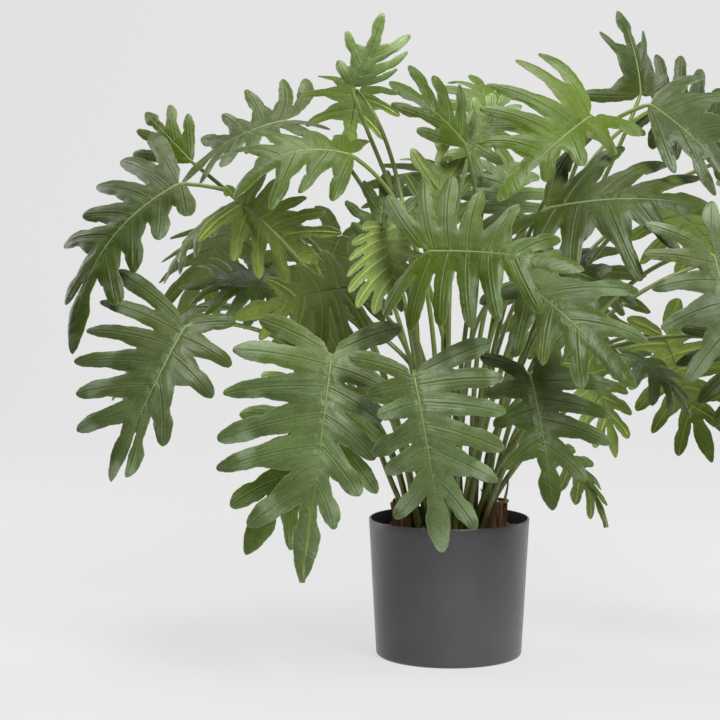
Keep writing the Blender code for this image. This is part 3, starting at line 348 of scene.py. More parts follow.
class Blade:
    """A leaf's blade as a height field over the plane of its joint, its tip and the way it faces."""

    def __init__(self, leaf, number):
        self.leaf = leaf
        self.draw = random.Random(SEED + number)
        self.joint = seen(*leaf.joint)
        tip = seen(*leaf.tip)
        self.length = (tip - self.joint).length
        self.along = (tip - self.joint).normalized()
        faces = Vector(leaf.faces)
        self.out = (faces - self.along * faces.dot(self.along)).normalized()
        self.side = self.along.cross(self.out)
        self.lobes = {1: [], -1: []}
        self.lay_lobes()
        self.cuts, self.forms = {}, {}
        for side, ends in self.lobes.items():
            places = [FIRST_CUT] + [CUTS] * (len(ends) - 2) + [LAST_CUT]
            cuts = [self.draw.uniform(*place) for place in places]
            self.cuts[side] = [cut + (LOBE_WAIST - cut) * self.leaf.whole for cut in cuts]
            self.forms[side] = [self.lobe_form(LOBE_WIDE, LOBE_SHARE, END_POWERS) for _ in ends]
        tip_form = self.lobe_form(TIP_WIDE, TIP_SHARE, TIP_POWERS)
        for side in (1, -1):
            self.forms[side].append(tip_form)

    def lobe_form(self, wide, share, powers):
        """A lobe's half width, its share of the room to its neighbours, and the powers that shape its end."""
        varied = self.draw.uniform(*LOBE_VARIES)
        grown = (self.length / FULL_LEAF) ** LOBE_GROWS
        width = wide * grown / self.length * varied
        return width, share * varied, *(self.draw.uniform(*p) for p in powers)

    def rib(self, u):
        """How far the midrib is swayed aside at u."""
        return self.leaf.sway * np.maximum(4 * u * (1 - u), 0)

    def height(self, u, v):
        """How far the blade rises from its plane at (u, v), as a share of its length."""
        across = v - self.rib(u)
        return self.leaf.arch * 4 * u * (1 - u) - self.leaf.droop * across * across

    def points(self, u, v, lift):
        """The places of (u, v), shares of the length along and across, raised by lift metres, as an array."""
        raised = self.height(u, v) * self.length + lift
        flat = np.outer(u, self.along) + np.outer(v, self.side)
        return np.array(self.joint) + flat * self.length + np.outer(raised, self.out)

    def spot_seen(self, x, z, drop):
        """(u, v) of the point of the blade that is seen at (x, z)."""
        ray = Vector((x * MM, 0, z * MM)) - EYE
        u, v = 0.5, 0.0
        for _ in range(6):
            base = self.joint + self.out * float(self.height(u, v) - drop) * self.length
            hit = EYE + ray * ((base - EYE).dot(self.out) / ray.dot(self.out)) - self.joint
            u = min(max(hit.dot(self.along) / self.length, LOBE_BACK), 1.0)
            v = min(max(hit.dot(self.side) / self.length, -LOBE_OUT), LOBE_OUT)
        return u, v

    def lay_lobes(self):
        """The lobe ends of both sides, each side in order from the stalk to the tip."""
        for x, z in self.leaf.lobes:
            drop = self.draw.uniform(*DROP)
            u, v = self.spot_seen(x, z, drop)
            side = 1 if v > self.rib(u) else -1
            self.lobes[side].append((u, v, drop))
        for side, ends in self.lobes.items():
            if len(ends) < 2:
                ends.clear()
                for u, v in PLAIN_LOBES[self.leaf.sides]:
                    spread = self.draw.uniform(-PLAIN_JITTER, PLAIN_JITTER)
                    reach = self.leaf.wide * v * self.draw.uniform(*PLAIN_REACH)
                    ends.append((u + spread, side * reach, self.draw.uniform(*DROP)))
            ends.sort(key=lambda end: math.atan2(abs(end[1]), FAN_MIDDLE - end[0]))

    def lobe_line(self, side, index, s):
        """(u, v) at share s of a lobe's middle line."""
        start_u = RIB_END * (index / len(self.lobes[side])) ** VEIN_CROWD
        start = Vector((start_u, self.rib(start_u)))
        end = Vector(self.lobes[side][index][:2])
        middle = (start + end) / 2 + Vector((-(end - start).y, (end - start).x)) * side * LOBE_BEND
        return start * (1 - s) ** 2 + middle * 2 * s * (1 - s) + end * s * s

    def tip_line(self, s):
        """(u, v) at share s of the end lobe's middle line."""
        u = RIB_END + (1 - RIB_END) * s
        return Vector((u, self.rib(u)))

    def arm(self, side, index, cut):
        """The middle line of a side's lobe, or of the end lobe after them, as a function of s.

        cut is where its cut starts, so that both lines reach their waists together.
        """
        if index < len(self.lobes[side]):
            return lambda s: self.lobe_line(side, index, s)

        def on_tip(s):
            if s < LOBE_WAIST:
                return self.tip_line(TIP_CUT + (TIP_WAIST - TIP_CUT) * (s - cut) / (LOBE_WAIST - cut))
            return self.tip_line(TIP_WAIST + (1 - TIP_WAIST) * (s - LOBE_WAIST) / (1 - LOBE_WAIST))

        return on_tip


def perpendicular(line, s, side):
    """The unit way across a lobe at s, towards the leaf's tip."""
    ahead = (line(min(s + 0.02, 1.0)) - line(s - 0.02)).normalized()
    return Vector((-ahead.y, ahead.x)) * -side


def lobe_width(line, other, form):
    """Half the width of a lobe on the side of a neighbour, in shares of the leaf's length."""
    if other is None:
        return form[0]
    spots = ((line(s), other(t)) for s in ROOM_HERE for t in ROOM_THERE)
    room = min((here - there).length for here, there in spots)
    return min(form[0], form[1] * room)


def end_shape(x, form):
    """A lobe's half width from its waist at x = 0 to its end at x = 1, as a share of its width there."""
    if x >= 1:
        return 0.0
    swell = 1 + LOBE_SWELL * math.sin(math.pi * min(x / SWELL_SPAN, 1))
    return swell * (1 - x ** form[2]) ** form[3]


def outer_edges(line, back, front, side, form):
    """A lobe's edge from its waist round its end to its waist again."""
    span = 1 - LOBE_WAIST
    edge = []
    for x in OUTER:
        s = LOBE_WAIST + span * x
        edge.append(line(s) - perpendicular(line, s, side) * back * end_shape(x, form))
    edge.append(line(1.0))
    for x in OUTER[::-1]:
        s = LOBE_WAIST + span * x
        edge.append(line(s) + perpendicular(line, s, side) * front * end_shape(x, form))
    return edge


def cut_edges(blade, line, after, cut, gap_end):
    """The edge of the cut between two lobes, from the first lobe's waist in to its end and out again."""
    inward, outward = [], []
    slit = SLIT / blade.length
    for share in INNER:
        s = cut + (LOBE_WAIST - cut) * share
        here, there = line(s), after(s)
        across = (there - here).normalized()
        gap = min(slit + (gap_end - slit) * share ** SLIT_OPEN, (there - here).length * SLIT_MOST)
        if share < SLIT_END[0]:
            gap *= SLIT_END[1]
        middle = (here + there) / 2
        inward.append(middle - across * gap)
        outward.append(middle + across * gap)
    end = (line(cut) + after(cut)) / 2
    return inward + [end] + outward[::-1]


def blade_edge(blade):
    """The key points of the blade's edge, from the stalk's one side round to its other."""
    sides, ends = {}, {}
    for side in (1, -1):
        count = len(blade.lobes[side])
        forms = blade.forms[side]
        edge = [Vector((0.0, side * NOTCH / blade.length))]
        for index in range(count):
            cut = blade.cuts[side][index]
            line = blade.arm(side, index, cut)
            after = blade.arm(side, index + 1, cut)
            before = blade.arm(side, index - 1, cut) if index else None
            back = lobe_width(line, before, forms[index])
            front = lobe_width(line, after, forms[index])
            if not index:
                notch = NOTCH / blade.length
                for s in FIRST_EDGE:
                    width = notch + (back - notch) * (s / LOBE_WAIST) ** FIRST_OPEN
                    place = line(s) - perpendicular(line, s, side) * width
                    edge.append(Vector((place.x, side * max(side * place.y, notch * 0.6))))
            edge += outer_edges(line, back, front, side, forms[index])
            room = (after(LOBE_WAIST) - line(LOBE_WAIST)).length
            other = lobe_width(after, line, forms[index + 1])
            gap_end = max((room - front - other) / 2, SLIT / blade.length)
            edge += cut_edges(blade, line, after, cut, gap_end)
        sides[side] = edge
        ends[side] = other
    tip = blade.arm(1, len(blade.lobes[1]), blade.cuts[1][-1])
    end_lobe = outer_edges(tip, ends[1], ends[-1], 1, blade.forms[1][-1])
    return sides[1] + end_lobe + sides[-1][::-1]


def smooth_line(keys, step):
    """Points about every step along a smooth curve through the key points."""
    keys = np.array([tuple(key) for key in keys])
    padded = np.vstack([2 * keys[0] - keys[1], keys, 2 * keys[-1] - keys[-2]])
    found = []
    for p0, p1, p2, p3 in zip(padded, padded[1:], padded[2:], padded[3:]):
        t0, t1 = 0.0, max(np.linalg.norm(p1 - p0), 1e-9) ** 0.5
        t2 = t1 + max(np.linalg.norm(p2 - p1), 1e-9) ** 0.5
        t3 = t2 + max(np.linalg.norm(p3 - p2), 1e-9) ** 0.5
        count = max(1, round(float(np.linalg.norm(p2 - p1)) / step))
        for t in t1 + (t2 - t1) * np.arange(count) / count:
            a1 = p0 * (t1 - t) / (t1 - t0) + p1 * (t - t0) / (t1 - t0)
            a2 = p1 * (t2 - t) / (t2 - t1) + p2 * (t - t1) / (t2 - t1)
            a3 = p2 * (t3 - t) / (t3 - t2) + p3 * (t - t2) / (t3 - t2)
            b1 = a1 * (t2 - t) / (t2 - t0) + a2 * (t - t0) / (t2 - t0)
            b2 = a2 * (t3 - t) / (t3 - t1) + a3 * (t - t1) / (t3 - t1)
            found.append(b1 * (t2 - t) / (t2 - t1) + b2 * (t - t1) / (t2 - t1))
    found.append(keys[-1])
    return np.array(found)


def waved(edge, blade, phase):
    """The edge with gentle waves, which fade at its two ends by the stalk."""
    ways = np.roll(edge, -1, axis=0) - np.roll(edge, 1, axis=0)
    length = np.linalg.norm(ways, axis=1, keepdims=True)
    out = np.stack([ways[:, 1], -ways[:, 0]], axis=1) / np.maximum(length, 1e-9)
    run = np.cumsum(np.linalg.norm(edge - np.roll(edge, 1, axis=0), axis=1)) * blade.length
    waves = np.sin(run / WAVE_LENGTH * math.tau + phase) + 0.6 * np.sin(run / WAVE_LENGTH * 2.7 * math.tau)
    ends = np.clip(np.minimum(run, run[-1] - run) / WAVE_FADE, 0, 1)
    return edge + out * (waves * ends * WAVE * 0.5 / blade.length)[:, None]


def to_segments(points, starts, ends):
    """Distance from each point to each segment, and the share along the segment that is nearest."""
    way = ends - starts
    size = np.maximum((way * way).sum(axis=1), 1e-12)
    share = ((points[:, None, :] - starts) * way).sum(axis=2) / size
    share = np.clip(share, 0, 1)
    apart = points[:, None, :] - starts - way * share[:, :, None]
    return np.sqrt((apart * apart).sum(axis=2)), share


def inside(points, loop):
    """Whether each point lies inside a closed loop."""
    after = np.roll(loop, -1, axis=0)
    x, y = points[:, :1], points[:, 1:]
    crosses = (loop[:, 1] > y) != (after[:, 1] > y)
    rise = np.where(after[:, 1] == loop[:, 1], 1e-12, after[:, 1] - loop[:, 1])
    at = loop[:, 0] + (y - loop[:, 1]) * (after[:, 0] - loop[:, 0]) / rise
    return (crosses & (x < at)).sum(axis=1) % 2 == 1


def vein_lines(blade):
    """The middle lines of all lobes, as (side, index, points), and of the midrib."""
    lines = []
    for side in (1, -1):
        for index in range(len(blade.lobes[side])):
            spots = [blade.lobe_line(side, index, s) for s in np.linspace(0, 0.97, 25)]
            lines.append((side, index, np.array([tuple(spot) for spot in spots])))
    us = np.linspace(0, 0.985, 41)
    return lines, np.stack([us, blade.rib(us)], axis=1)


def along_line(points, step, first):
    """Points about every step along a line, from a distance from its start, and the ways there."""
    runs = np.concatenate([[0], np.cumsum(np.linalg.norm(np.diff(points, axis=0), axis=1))])
    count = max(2, int((runs[-1] - first) / step) + 1)
    places = np.linspace(first, runs[-1], count)
    found = np.stack([np.interp(places, runs, points[:, k]) for k in (0, 1)], axis=1)
    ways = np.gradient(found, axis=0)
    return found, ways / np.linalg.norm(ways, axis=1, keepdims=True)


def plan(blade, draw):
    """The blade's triangles on its plane: (u, v) points and faces, with its edge and its veins."""
    size = blade.length
    edge = waved(smooth_line(blade_edge(blade), EDGE_STEP / size), blade, draw.uniform(0, math.tau))
    lobes, rib = vein_lines(blade)
    spots = [edge]
    edges = []
    total = len(edge)
    edge_after = np.roll(edge, -1, axis=0)

    def add(line, keep):
        """Lays a line's points that are kept, and joins those that follow each other."""
        nonlocal total
        spots.append(line[keep])
        number = np.cumsum(keep) - 1 + total
        for k in range(len(line) - 1):
            if keep[k] and keep[k + 1]:
                edges.append((int(number[k]), int(number[k + 1])))
        total += int(keep.sum())

    def clear_of_edge(line, room):
        """Whether each point is inside the edge and room metres from it."""
        return (to_segments(line, edge, edge_after)[0].min(axis=1) > room / size) & inside(line, edge)

    rib_line, _ = along_line(rib, VEIN_STEP / size, RIB_START / size)
    add(rib_line, clear_of_edge(rib_line, RIB_CLEAR))
    for side, index, line in lobes:
        found, ways = along_line(line, VEIN_STEP / size, VEIN_START / size)
        add(found, clear_of_edge(found, VEIN_CLEAR))
        for hand in (1, -1):
            beside = found + np.stack([-ways[:, 1], ways[:, 0]], axis=1) * hand * VEIN_HALF / size
            off_rib = to_segments(beside, rib[:-1], rib[1:])[0].min(axis=1) > BESIDE_RIB / size
            others = [other for s, i, other in lobes if (s, i) != (side, index)]
            starts = np.vstack([other[:-1] for other in others])
            ends = np.vstack([other[1:] for other in others])
            off_others = to_segments(beside, starts, ends)[0].min(axis=1) > BESIDE_VEIN / size
            add(beside, clear_of_edge(beside, VEIN_CLEAR) & off_rib & off_others)
    low, high = edge.min(axis=0), edge.max(axis=0)
    step = GRID_STEP / size
    rows = np.arange(low[1], high[1], step * math.sqrt(0.75))
    grid = []
    for number, v in enumerate(rows):
        us = np.arange(low[0] + step * 0.5 * (number % 2), high[0], step)
        grid.append(np.stack([us, np.full_like(us, v)], axis=1))
    grid = np.vstack(grid)
    starts = np.vstack([rib[:-1]] + [line[:-1] for _, _, line in lobes])
    ends = np.vstack([rib[1:]] + [line[1:] for _, _, line in lobes])
    keep = clear_of_edge(grid, GRID_STEP * 0.5)
    keep &= to_segments(grid, starts, ends)[0].min(axis=1) > (VEIN_HALF + GRID_STEP * 0.5) / size
    spots.append(grid[keep])
    spots = np.vstack(spots)
    made = delaunay_2d_cdt([Vector(spot) for spot in spots], edges, [list(range(len(edge)))], 1, 1e-7)
    uv = np.array([tuple(spot) for spot in made[0]])
    faces = np.array([face for face in made[2] if len(face) == 3])
    return uv, faces, edge, lobes, rib


def blade_fields(blade, uv, edge, lobes, rib, draw):
    """For each point: how far it is lifted, and its attributes."""
    size = blade.length
    to_edge = to_segments(uv, edge, np.roll(edge, -1, axis=0))[0].min(axis=1) * size
    lobe_lifts, lobe_weights, lobe_dists, lobe_runs, lobe_shares, tones = [], [], [], [], [], []
    for side, index, line in lobes:
        dist, share = to_segments(uv, line[:-1], line[1:])
        near = dist.argmin(axis=1)
        rows = np.arange(len(uv))
        s = (near + share[rows, near]) / (len(line) - 1)
        way = line[near + 1] - line[near]
        way /= np.linalg.norm(way, axis=1, keepdims=True)
        off = uv - line[near]
        across = (way[:, 0] * off[:, 1] - way[:, 1] * off[:, 0]) * size
        dist = dist[rows, near] * size
        drop = (blade.lobes[side][index][2] * s ** 2 + draw.uniform(*CURL) * s ** 4) * size
        twist = draw.uniform(-TWIST, TWIST) * np.clip(across, -TWIST_MOST, TWIST_MOST) * s
        lobe_lifts.append(twist - drop)
        lobe_weights.append(1 / (dist + NEAR) ** 4)
        lobe_dists.append(dist)
        lobe_runs.append(s * np.linalg.norm(np.diff(line, axis=0), axis=1).sum() * size)
        lobe_shares.append(s)
        tones.append(draw.uniform(-1, 1))
    to_rib = to_segments(uv, rib[:-1], rib[1:])[0].min(axis=1) * size
    rib_weight = 1 / (to_rib + NEAR) ** 4
    weights = np.array(lobe_weights)
    total = weights.sum(axis=0) + rib_weight
    lift = (np.array(lobe_lifts) * weights).sum(axis=0) / total
    tone = (np.array(tones)[:, None] * weights).sum(axis=0) / total
    run = (np.array(lobe_runs) * weights).sum(axis=0) / weights.sum(axis=0)
    on_tip = np.clip((uv[:, 0] - RIB_END) / (1 - RIB_END), 0, 1)
    end = ((np.array(lobe_shares) * weights).sum(axis=0) + on_tip * rib_weight) / total
    to_vein = np.min(lobe_dists, axis=0)
    to_any = np.minimum(to_vein, to_rib)
    wide = to_any + to_edge
    t = to_any / np.maximum(wide, 1e-6)
    reach = np.minimum(wide, CROWN_MOST)
    lift += reach * (CROWN * np.sin(math.pi * np.clip(t, 0, 1) ** 0.75) - EDGE_FALL * t ** 2)
    groove = np.clip(1 - to_vein / VEIN_HALF, 0, 1)
    fields = {"vein": to_vein / MM, "rib": to_rib / MM, "rim": to_edge / MM, "run": run / STREAK_LONG,
              "tone": tone, "along": uv[:, 0], "end": end}
    return lift, groove, to_edge, fields


def corner_normals(points, faces):
    """Unit normals at the points of a triangle mesh."""
    a, b, c = (points[faces[:, k]] for k in range(3))
    flat = np.cross(b - a, c - a)
    total = np.zeros_like(points)
    for k in range(3):
        np.add.at(total, faces[:, k], flat)
    return total / np.maximum(np.linalg.norm(total, axis=1, keepdims=True), 1e-12)


def blade_shell(blade, draw):
    """The blade as points, triangles, each triangle's material number and the points' attributes."""
    uv, faces, edge, lobes, rib = plan(blade, draw)
    lift, groove, to_edge, fields = blade_fields(blade, uv, edge, lobes, rib, draw)
    middle = blade.points(uv[:, 0], uv[:, 1], lift)
    turn = np.cross(middle[faces[:, 1]] - middle[faces[:, 0]], middle[faces[:, 2]] - middle[faces[:, 0]])
    wrong = turn @ np.array(blade.out) < 0
    faces[wrong] = faces[wrong][:, ::-1]
    normals = corner_normals(middle, faces)
    fade = np.clip(to_edge / GROOVE_FADE, 0, 1)
    half = BLADE_THICK / 2
    top = middle + normals * (half - GROOVE * groove * fade)[:, None]
    under = middle - normals * (half + RIDGE * groove * fade)[:, None]
    pairs = faces[:, [0, 1, 1, 2, 2, 0]].reshape(-1, 2)
    _, where, uses = np.unique(np.sort(pairs, axis=1), axis=0, return_index=True, return_counts=True)
    rim = pairs[where[uses == 1]]
    count = len(uv)
    on_rim = np.unique(rim)
    slot = np.full(count, -1)
    slot[on_rim] = np.arange(len(on_rim)) + 2 * count
    out = np.zeros_like(middle)
    sideways = np.cross(middle[rim[:, 1]] - middle[rim[:, 0]], normals[rim[:, 0]])
    sideways /= np.maximum(np.linalg.norm(sideways, axis=1, keepdims=True), 1e-12)
    np.add.at(out, rim[:, 0], sideways)
    np.add.at(out, rim[:, 1], sideways)
    out /= np.maximum(np.linalg.norm(out, axis=1, keepdims=True), 1e-12)
    side = middle[on_rim] + out[on_rim] * half * RIM_OUT
    points = np.vstack([top, under, side])
    here, after = rim[:, 0], rim[:, 1]
    strip = [
        np.stack([after, here, slot[here]], axis=1),
        np.stack([after, slot[here], slot[after]], axis=1),
        np.stack([slot[after], slot[here], here + count], axis=1),
        np.stack([slot[after], here + count, after + count], axis=1),
    ]
    triangles = np.vstack([faces, faces[:, ::-1] + count] + strip)
    kinds = np.repeat([TOP, UNDER, RIM], [len(faces), len(faces), 4 * len(rim)])
    attributes = {name: np.concatenate([field, field, field[on_rim]]) for name, field in fields.items()}
    return points, triangles, kinds, attributes


def solid_rings(node):
    """The middles of the rings of the solid's stalk, from its foot up."""
    mesh = node.data
    count = len(mesh.vertices)
    places = np.zeros(count * 3)
    mesh.vertices.foreach_get("co", places)
    places, same = np.unique(np.round(places.reshape(-1, 3), 6), axis=0, return_inverse=True)
    same = same.reshape(-1)
    beside = {}
    for edge in mesh.edges:
        a, b = (int(same[i]) for i in edge.vertices)
        beside.setdefault(a, set()).add(b)
        beside.setdefault(b, set()).add(a)
    low = places[:, 2].min()
    ring = {i for i in range(len(places)) if places[i, 2] < low + 0.01 * MM}
    passed = set()
    middles = []
    while len(middles) < SOLID_RINGS:
        middles.append(places[sorted(ring)].mean(axis=0))
        passed |= ring
        ring = set().union(*(beside[i] for i in ring)) - passed
    return middles


def stalk_path(blade, node):
    """The stalk's middle line as points: from its foot, along its solid, and into the blade's midrib."""
    rings = solid_rings(node)
    foot, bend = rings[0], np.array(rings[1:])
    shares = np.linspace(0, 1, len(bend))
    curve = [np.polyfit(shares, bend[:, k], 3) for k in range(3)]
    s = np.linspace(0, 1, STALK_RINGS)
    arc = np.stack([np.polyval(curve[k], s) for k in range(3)], axis=1)
    arrive = arc[-1] - arc[-2]
    arrive /= np.linalg.norm(arrive)
    us = np.linspace(0.03, 0.97, RIB_RINGS)
    ribs = blade.points(us, blade.rib(us), np.full(len(us), RIB_RAISED))
    leave = ribs[1] - ribs[0]
    leave /= np.linalg.norm(leave)
    reach = np.linalg.norm(ribs[0] - arc[-1])
    t = np.linspace(0, 1, JOIN_RINGS + 2)[1:-1, None]
    join = (arc[-1] * (2 * t ** 3 - 3 * t ** 2 + 1) + arrive * reach * (t ** 3 - 2 * t ** 2 + t)
            + ribs[0] * (3 * t ** 2 - 2 * t ** 3) + leave * reach * (t ** 3 - t ** 2))
    path = np.vstack([foot, arc, join, ribs])
    stalk_count = 1 + len(arc) + len(join)
    radii = np.concatenate([
        [STALK_FOOT], STALK_FOOT + (STALK_END - STALK_FOOT) * s,
        np.linspace(STALK_END, RIB_RADIUS[0], len(join) + 2)[1:-1],
        RIB_RADIUS[0] + (RIB_RADIUS[1] - RIB_RADIUS[0]) * np.linspace(0, 1, len(us)) ** 0.6,
    ])
    return path, radii, stalk_count


def frames_along(path, last_way):
    """A way across at each point of a line, turned as little as possible, which ends at last_way."""
    ahead = np.gradient(path, axis=0)
    ahead /= np.linalg.norm(ahead, axis=1, keepdims=True)
    ways = np.zeros_like(path)
    way = np.array(last_way)
    for k in range(len(path) - 1, -1, -1):
        way = way - ahead[k] * (way @ ahead[k])
        way /= np.linalg.norm(way)
        ways[k] = way
    return ahead, ways


def ring_ways(turns, up, across):
    """The ways out to each side of each ring of a tube."""
    return np.cos(turns)[None, :, None] * up[:, None, :] + np.sin(turns)[None, :, None] * across[:, None, :]


def stalk_tube(blade, node):
    """The stalk and midrib as points, triangles, material numbers and attributes."""
    path, radii, stalk_count = stalk_path(blade, node)
    ahead, up = frames_along(path, blade.out)
    across = np.cross(ahead, up)
    turns = np.arange(STALK_SIDES) / STALK_SIDES * math.tau
    shape = np.ones((len(path), STALK_SIDES))
    channel = np.exp(-((turns + math.pi) % math.tau - math.pi) ** 2 / 0.35)
    shape[:stalk_count] -= CHANNEL * channel
    rings = ring_ways(turns, up, across)
    points = (path[:, None, :] + rings * (shape * radii[:, None])[:, :, None]).reshape(-1, 3)
    k, j = np.meshgrid(np.arange(len(path) - 1), np.arange(STALK_SIDES), indexing="ij")
    k, j = k.ravel(), j.ravel()
    after = (j + 1) % STALK_SIDES
    a, b = k * STALK_SIDES + j, k * STALK_SIDES + after
    c, d = b + STALK_SIDES, a + STALK_SIDES
    triangles = [np.stack([a, b, c], axis=1), np.stack([a, c, d], axis=1)]
    kinds = [np.where(k < stalk_count - 1, STALK, MIDRIB)] * 2
    for ring, flip in ((0, True), (len(path) - 1, False)):
        fan = [(ring * STALK_SIDES, ring * STALK_SIDES + i, ring * STALK_SIDES + i + 1)
               for i in range(1, STALK_SIDES - 1)]
        fan = np.array(fan)
        triangles.append(fan[:, ::-1] if flip else fan)
        kinds.append(np.full(len(fan), MIDRIB if ring else STALK))
    share = np.arange(len(path)) / (stalk_count - 1)
    share[stalk_count:] = 1 + np.arange(1, len(path) - stalk_count + 1) / (len(path) - stalk_count)
    total = len(points)
    attributes = {name: np.zeros(total) for name in ("vein", "rib", "rim", "run", "tone", "end")}
    attributes["rim"][:] = FAR
    attributes["along"] = np.repeat(share, STALK_SIDES)
    # the stalk's tone is its channel, which its material darkens as painted shade
    attributes["tone"] = np.tile(channel, len(path))
    return points, np.vstack(triangles), np.concatenate(kinds), attributes


def mesh_object(name, points, triangles, kinds, materials, attributes=None, angle=50):
    """A smooth-shaded mesh object of triangles."""
    mesh = bpy.data.meshes.new(name)
    mesh.vertices.add(len(points))
    mesh.vertices.foreach_set("co", np.asarray(points, np.float32).ravel())
    mesh.loops.add(3 * len(triangles))
    mesh.loops.foreach_set("vertex_index", np.asarray(triangles, np.int32).ravel())
    mesh.polygons.add(len(triangles))
    mesh.polygons.foreach_set("loop_start", np.arange(0, 3 * len(triangles), 3, dtype=np.int32))
    mesh.polygons.foreach_set("material_index", np.asarray(kinds, np.int32))
    mesh.update(calc_edges=True)
    mesh.validate()
    for label, field in (attributes or {}).items():
        made = mesh.attributes.new(label, "FLOAT", "POINT")
        made.data.foreach_set("value", np.asarray(field, np.float32))
    for material in materials:
        mesh.materials.append(material)
    mesh.shade_smooth()
    mesh.set_sharp_from_angle(angle=math.radians(angle))
    made = bpy.data.objects.new(name, mesh)
    bpy.context.scene.collection.objects.link(made)
    return made


def make_leaf(number, leaf, node):
    """A leaf's fine blade and stalk, in the place of its solid."""
    blade = Blade(leaf, number)
    draw = random.Random(SEED * 1000 + number)
    points, triangles, kinds, attributes = blade_shell(blade, draw)
    more_points, more_triangles, more_kinds, more_attributes = stalk_tube(blade, node)
    joined = {name: np.concatenate([attributes[name], more_attributes[name]]) for name in attributes}
    # the shade attribute: a brightness factor per leaf, partly painted light and shade
    joined["shade"] = np.full(len(points) + len(more_points), SHADES_AND_PAINTED_LIGHT.get(number, 1.0))
    materials = [top_material(leaf.tint), under_material(leaf.tint), painted_highlight_rim_material(), stalk_material(),
                 midrib_material()]
    made = mesh_object(
        node.name + "_fine",
        np.vstack([points, more_points]),
        np.vstack([triangles, more_triangles + len(points)]),
        np.concatenate([kinds, more_kinds]),
        materials, joined)
    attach(made, "root")
    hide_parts(node.name)


class Shader:
    """A material's node tree, with short calls for the nodes that the materials share."""

    def __init__(self, name):
        self.material = bpy.data.materials.new(name)
        self.material.use_nodes = True
        self.tree = self.material.node_tree
        self.surface = self.tree.nodes["Principled BSDF"]

    def node(self, kind, **settings):
        made = self.tree.nodes.new(kind)
        for name, value in settings.items():
            setattr(made, name, value)
        return made

    def link(self, source, target):
        """Feeds target from another node's output, or sets it to a colour or a number."""
        if hasattr(source, "is_output"):
            self.tree.links.new(source, target)
        elif isinstance(source, tuple):
            target.default_value = (*source, 1.0) if len(source) == 3 and target.type == "RGBA" else source
        else:
            target.default_value = source

    def attribute(self, name):
        return self.node("ShaderNodeAttribute", attribute_name=name).outputs["Fac"]

    def ramp(self, source, low, high, to_low=0.0, to_high=1.0):
        """source from low to high, as a smooth step between two values."""
        made = self.node("ShaderNodeMapRange", interpolation_type="SMOOTHSTEP")
        self.link(source, made.inputs["Value"])
        for key, value in (("From Min", low), ("From Max", high), ("To Min", to_low), ("To Max", to_high)):
            made.inputs[key].default_value = value
        return made.outputs["Result"]

    def math(self, operation, one, other=0.0):
        made = self.node("ShaderNodeMath", operation=operation)
        self.link(one, made.inputs[0])
        self.link(other, made.inputs[1])
        return made.outputs[0]

    def mix(self, share, one, other, blend="MIX"):
        made = self.node("ShaderNodeMix", data_type="RGBA", blend_type=blend)
        self.link(share, made.inputs["Factor"])
        self.link(one, made.inputs[6])
        self.link(other, made.inputs[7])
        return made.outputs[2]

    def over(self, base, colour, source, *steps):
        """colour laid over base as far as the ramp of source says."""
        return self.mix(self.ramp(source, *steps), base, colour)

    def over_at(self, base, colour, name, *steps):
        """The same, by an attribute."""
        return self.over(base, colour, self.attribute(name), *steps)

    def noise_at(self, place, scale, detail):
        made = self.node("ShaderNodeTexNoise")
        self.link(place, made.inputs["Vector"])
        made.inputs["Scale"].default_value = scale
        made.inputs["Detail"].default_value = detail
        return made.outputs["Fac"]

    def noise(self, scale, detail, stretch=None):
        """Noise in object space, in shares of a metre, stretched along an axis if asked."""
        place = self.node("ShaderNodeTexCoord").outputs["Object"]
        if stretch:
            mapping = self.node("ShaderNodeMapping")
            mapping.inputs["Scale"].default_value = stretch
            self.link(place, mapping.inputs["Vector"])
            place = mapping.outputs["Vector"]
        return self.noise_at(place, scale, detail)

    def streaks(self, scale, detail):
        """Noise in long streaks beside a lobe's vein."""
        place = self.node("ShaderNodeCombineXYZ")
        for number, name in enumerate(("vein", "run", "tone")):
            self.link(self.attribute(name), place.inputs[number])
        return self.noise_at(place.outputs[0], scale, detail)

    def grained(self, colour):
        """The colour with a fine grain, times the leaf's brightness factor, which is partly painted light and
        shade.
        """
        grain = self.ramp(self.noise(400, 2), 0.35, 0.65)
        colour = self.mix(1.0, colour, self.mix(grain, (0.90, 0.90, 0.90), (1.10, 1.10, 1.10)), "MULTIPLY")
        return self.mix(1.0, colour, self.attribute("shade"), "MULTIPLY")

    def bump(self, height, distance, strength, onto=None):
        """A bumpy normal, onto another one if given."""
        made = self.node("ShaderNodeBump")
        made.inputs["Strength"].default_value = strength
        made.inputs["Distance"].default_value = distance
        self.link(height, made.inputs["Height"])
        if onto is not None:
            self.link(onto, made.inputs["Normal"])
        return made.outputs["Normal"]

    def finish(self, colour, roughness, normal=None, specular=0.5):
        """The material, with its surface linked up."""
        self.link(colour, self.surface.inputs["Base Color"])
        self.link(roughness, self.surface.inputs["Roughness"])
        if normal is not None:
            self.link(normal, self.surface.inputs["Normal"])
        self.surface.inputs["Specular IOR Level"].default_value = specular
        return self.material


def scaled(colour, by):
    return tuple(channel * by for channel in colour)


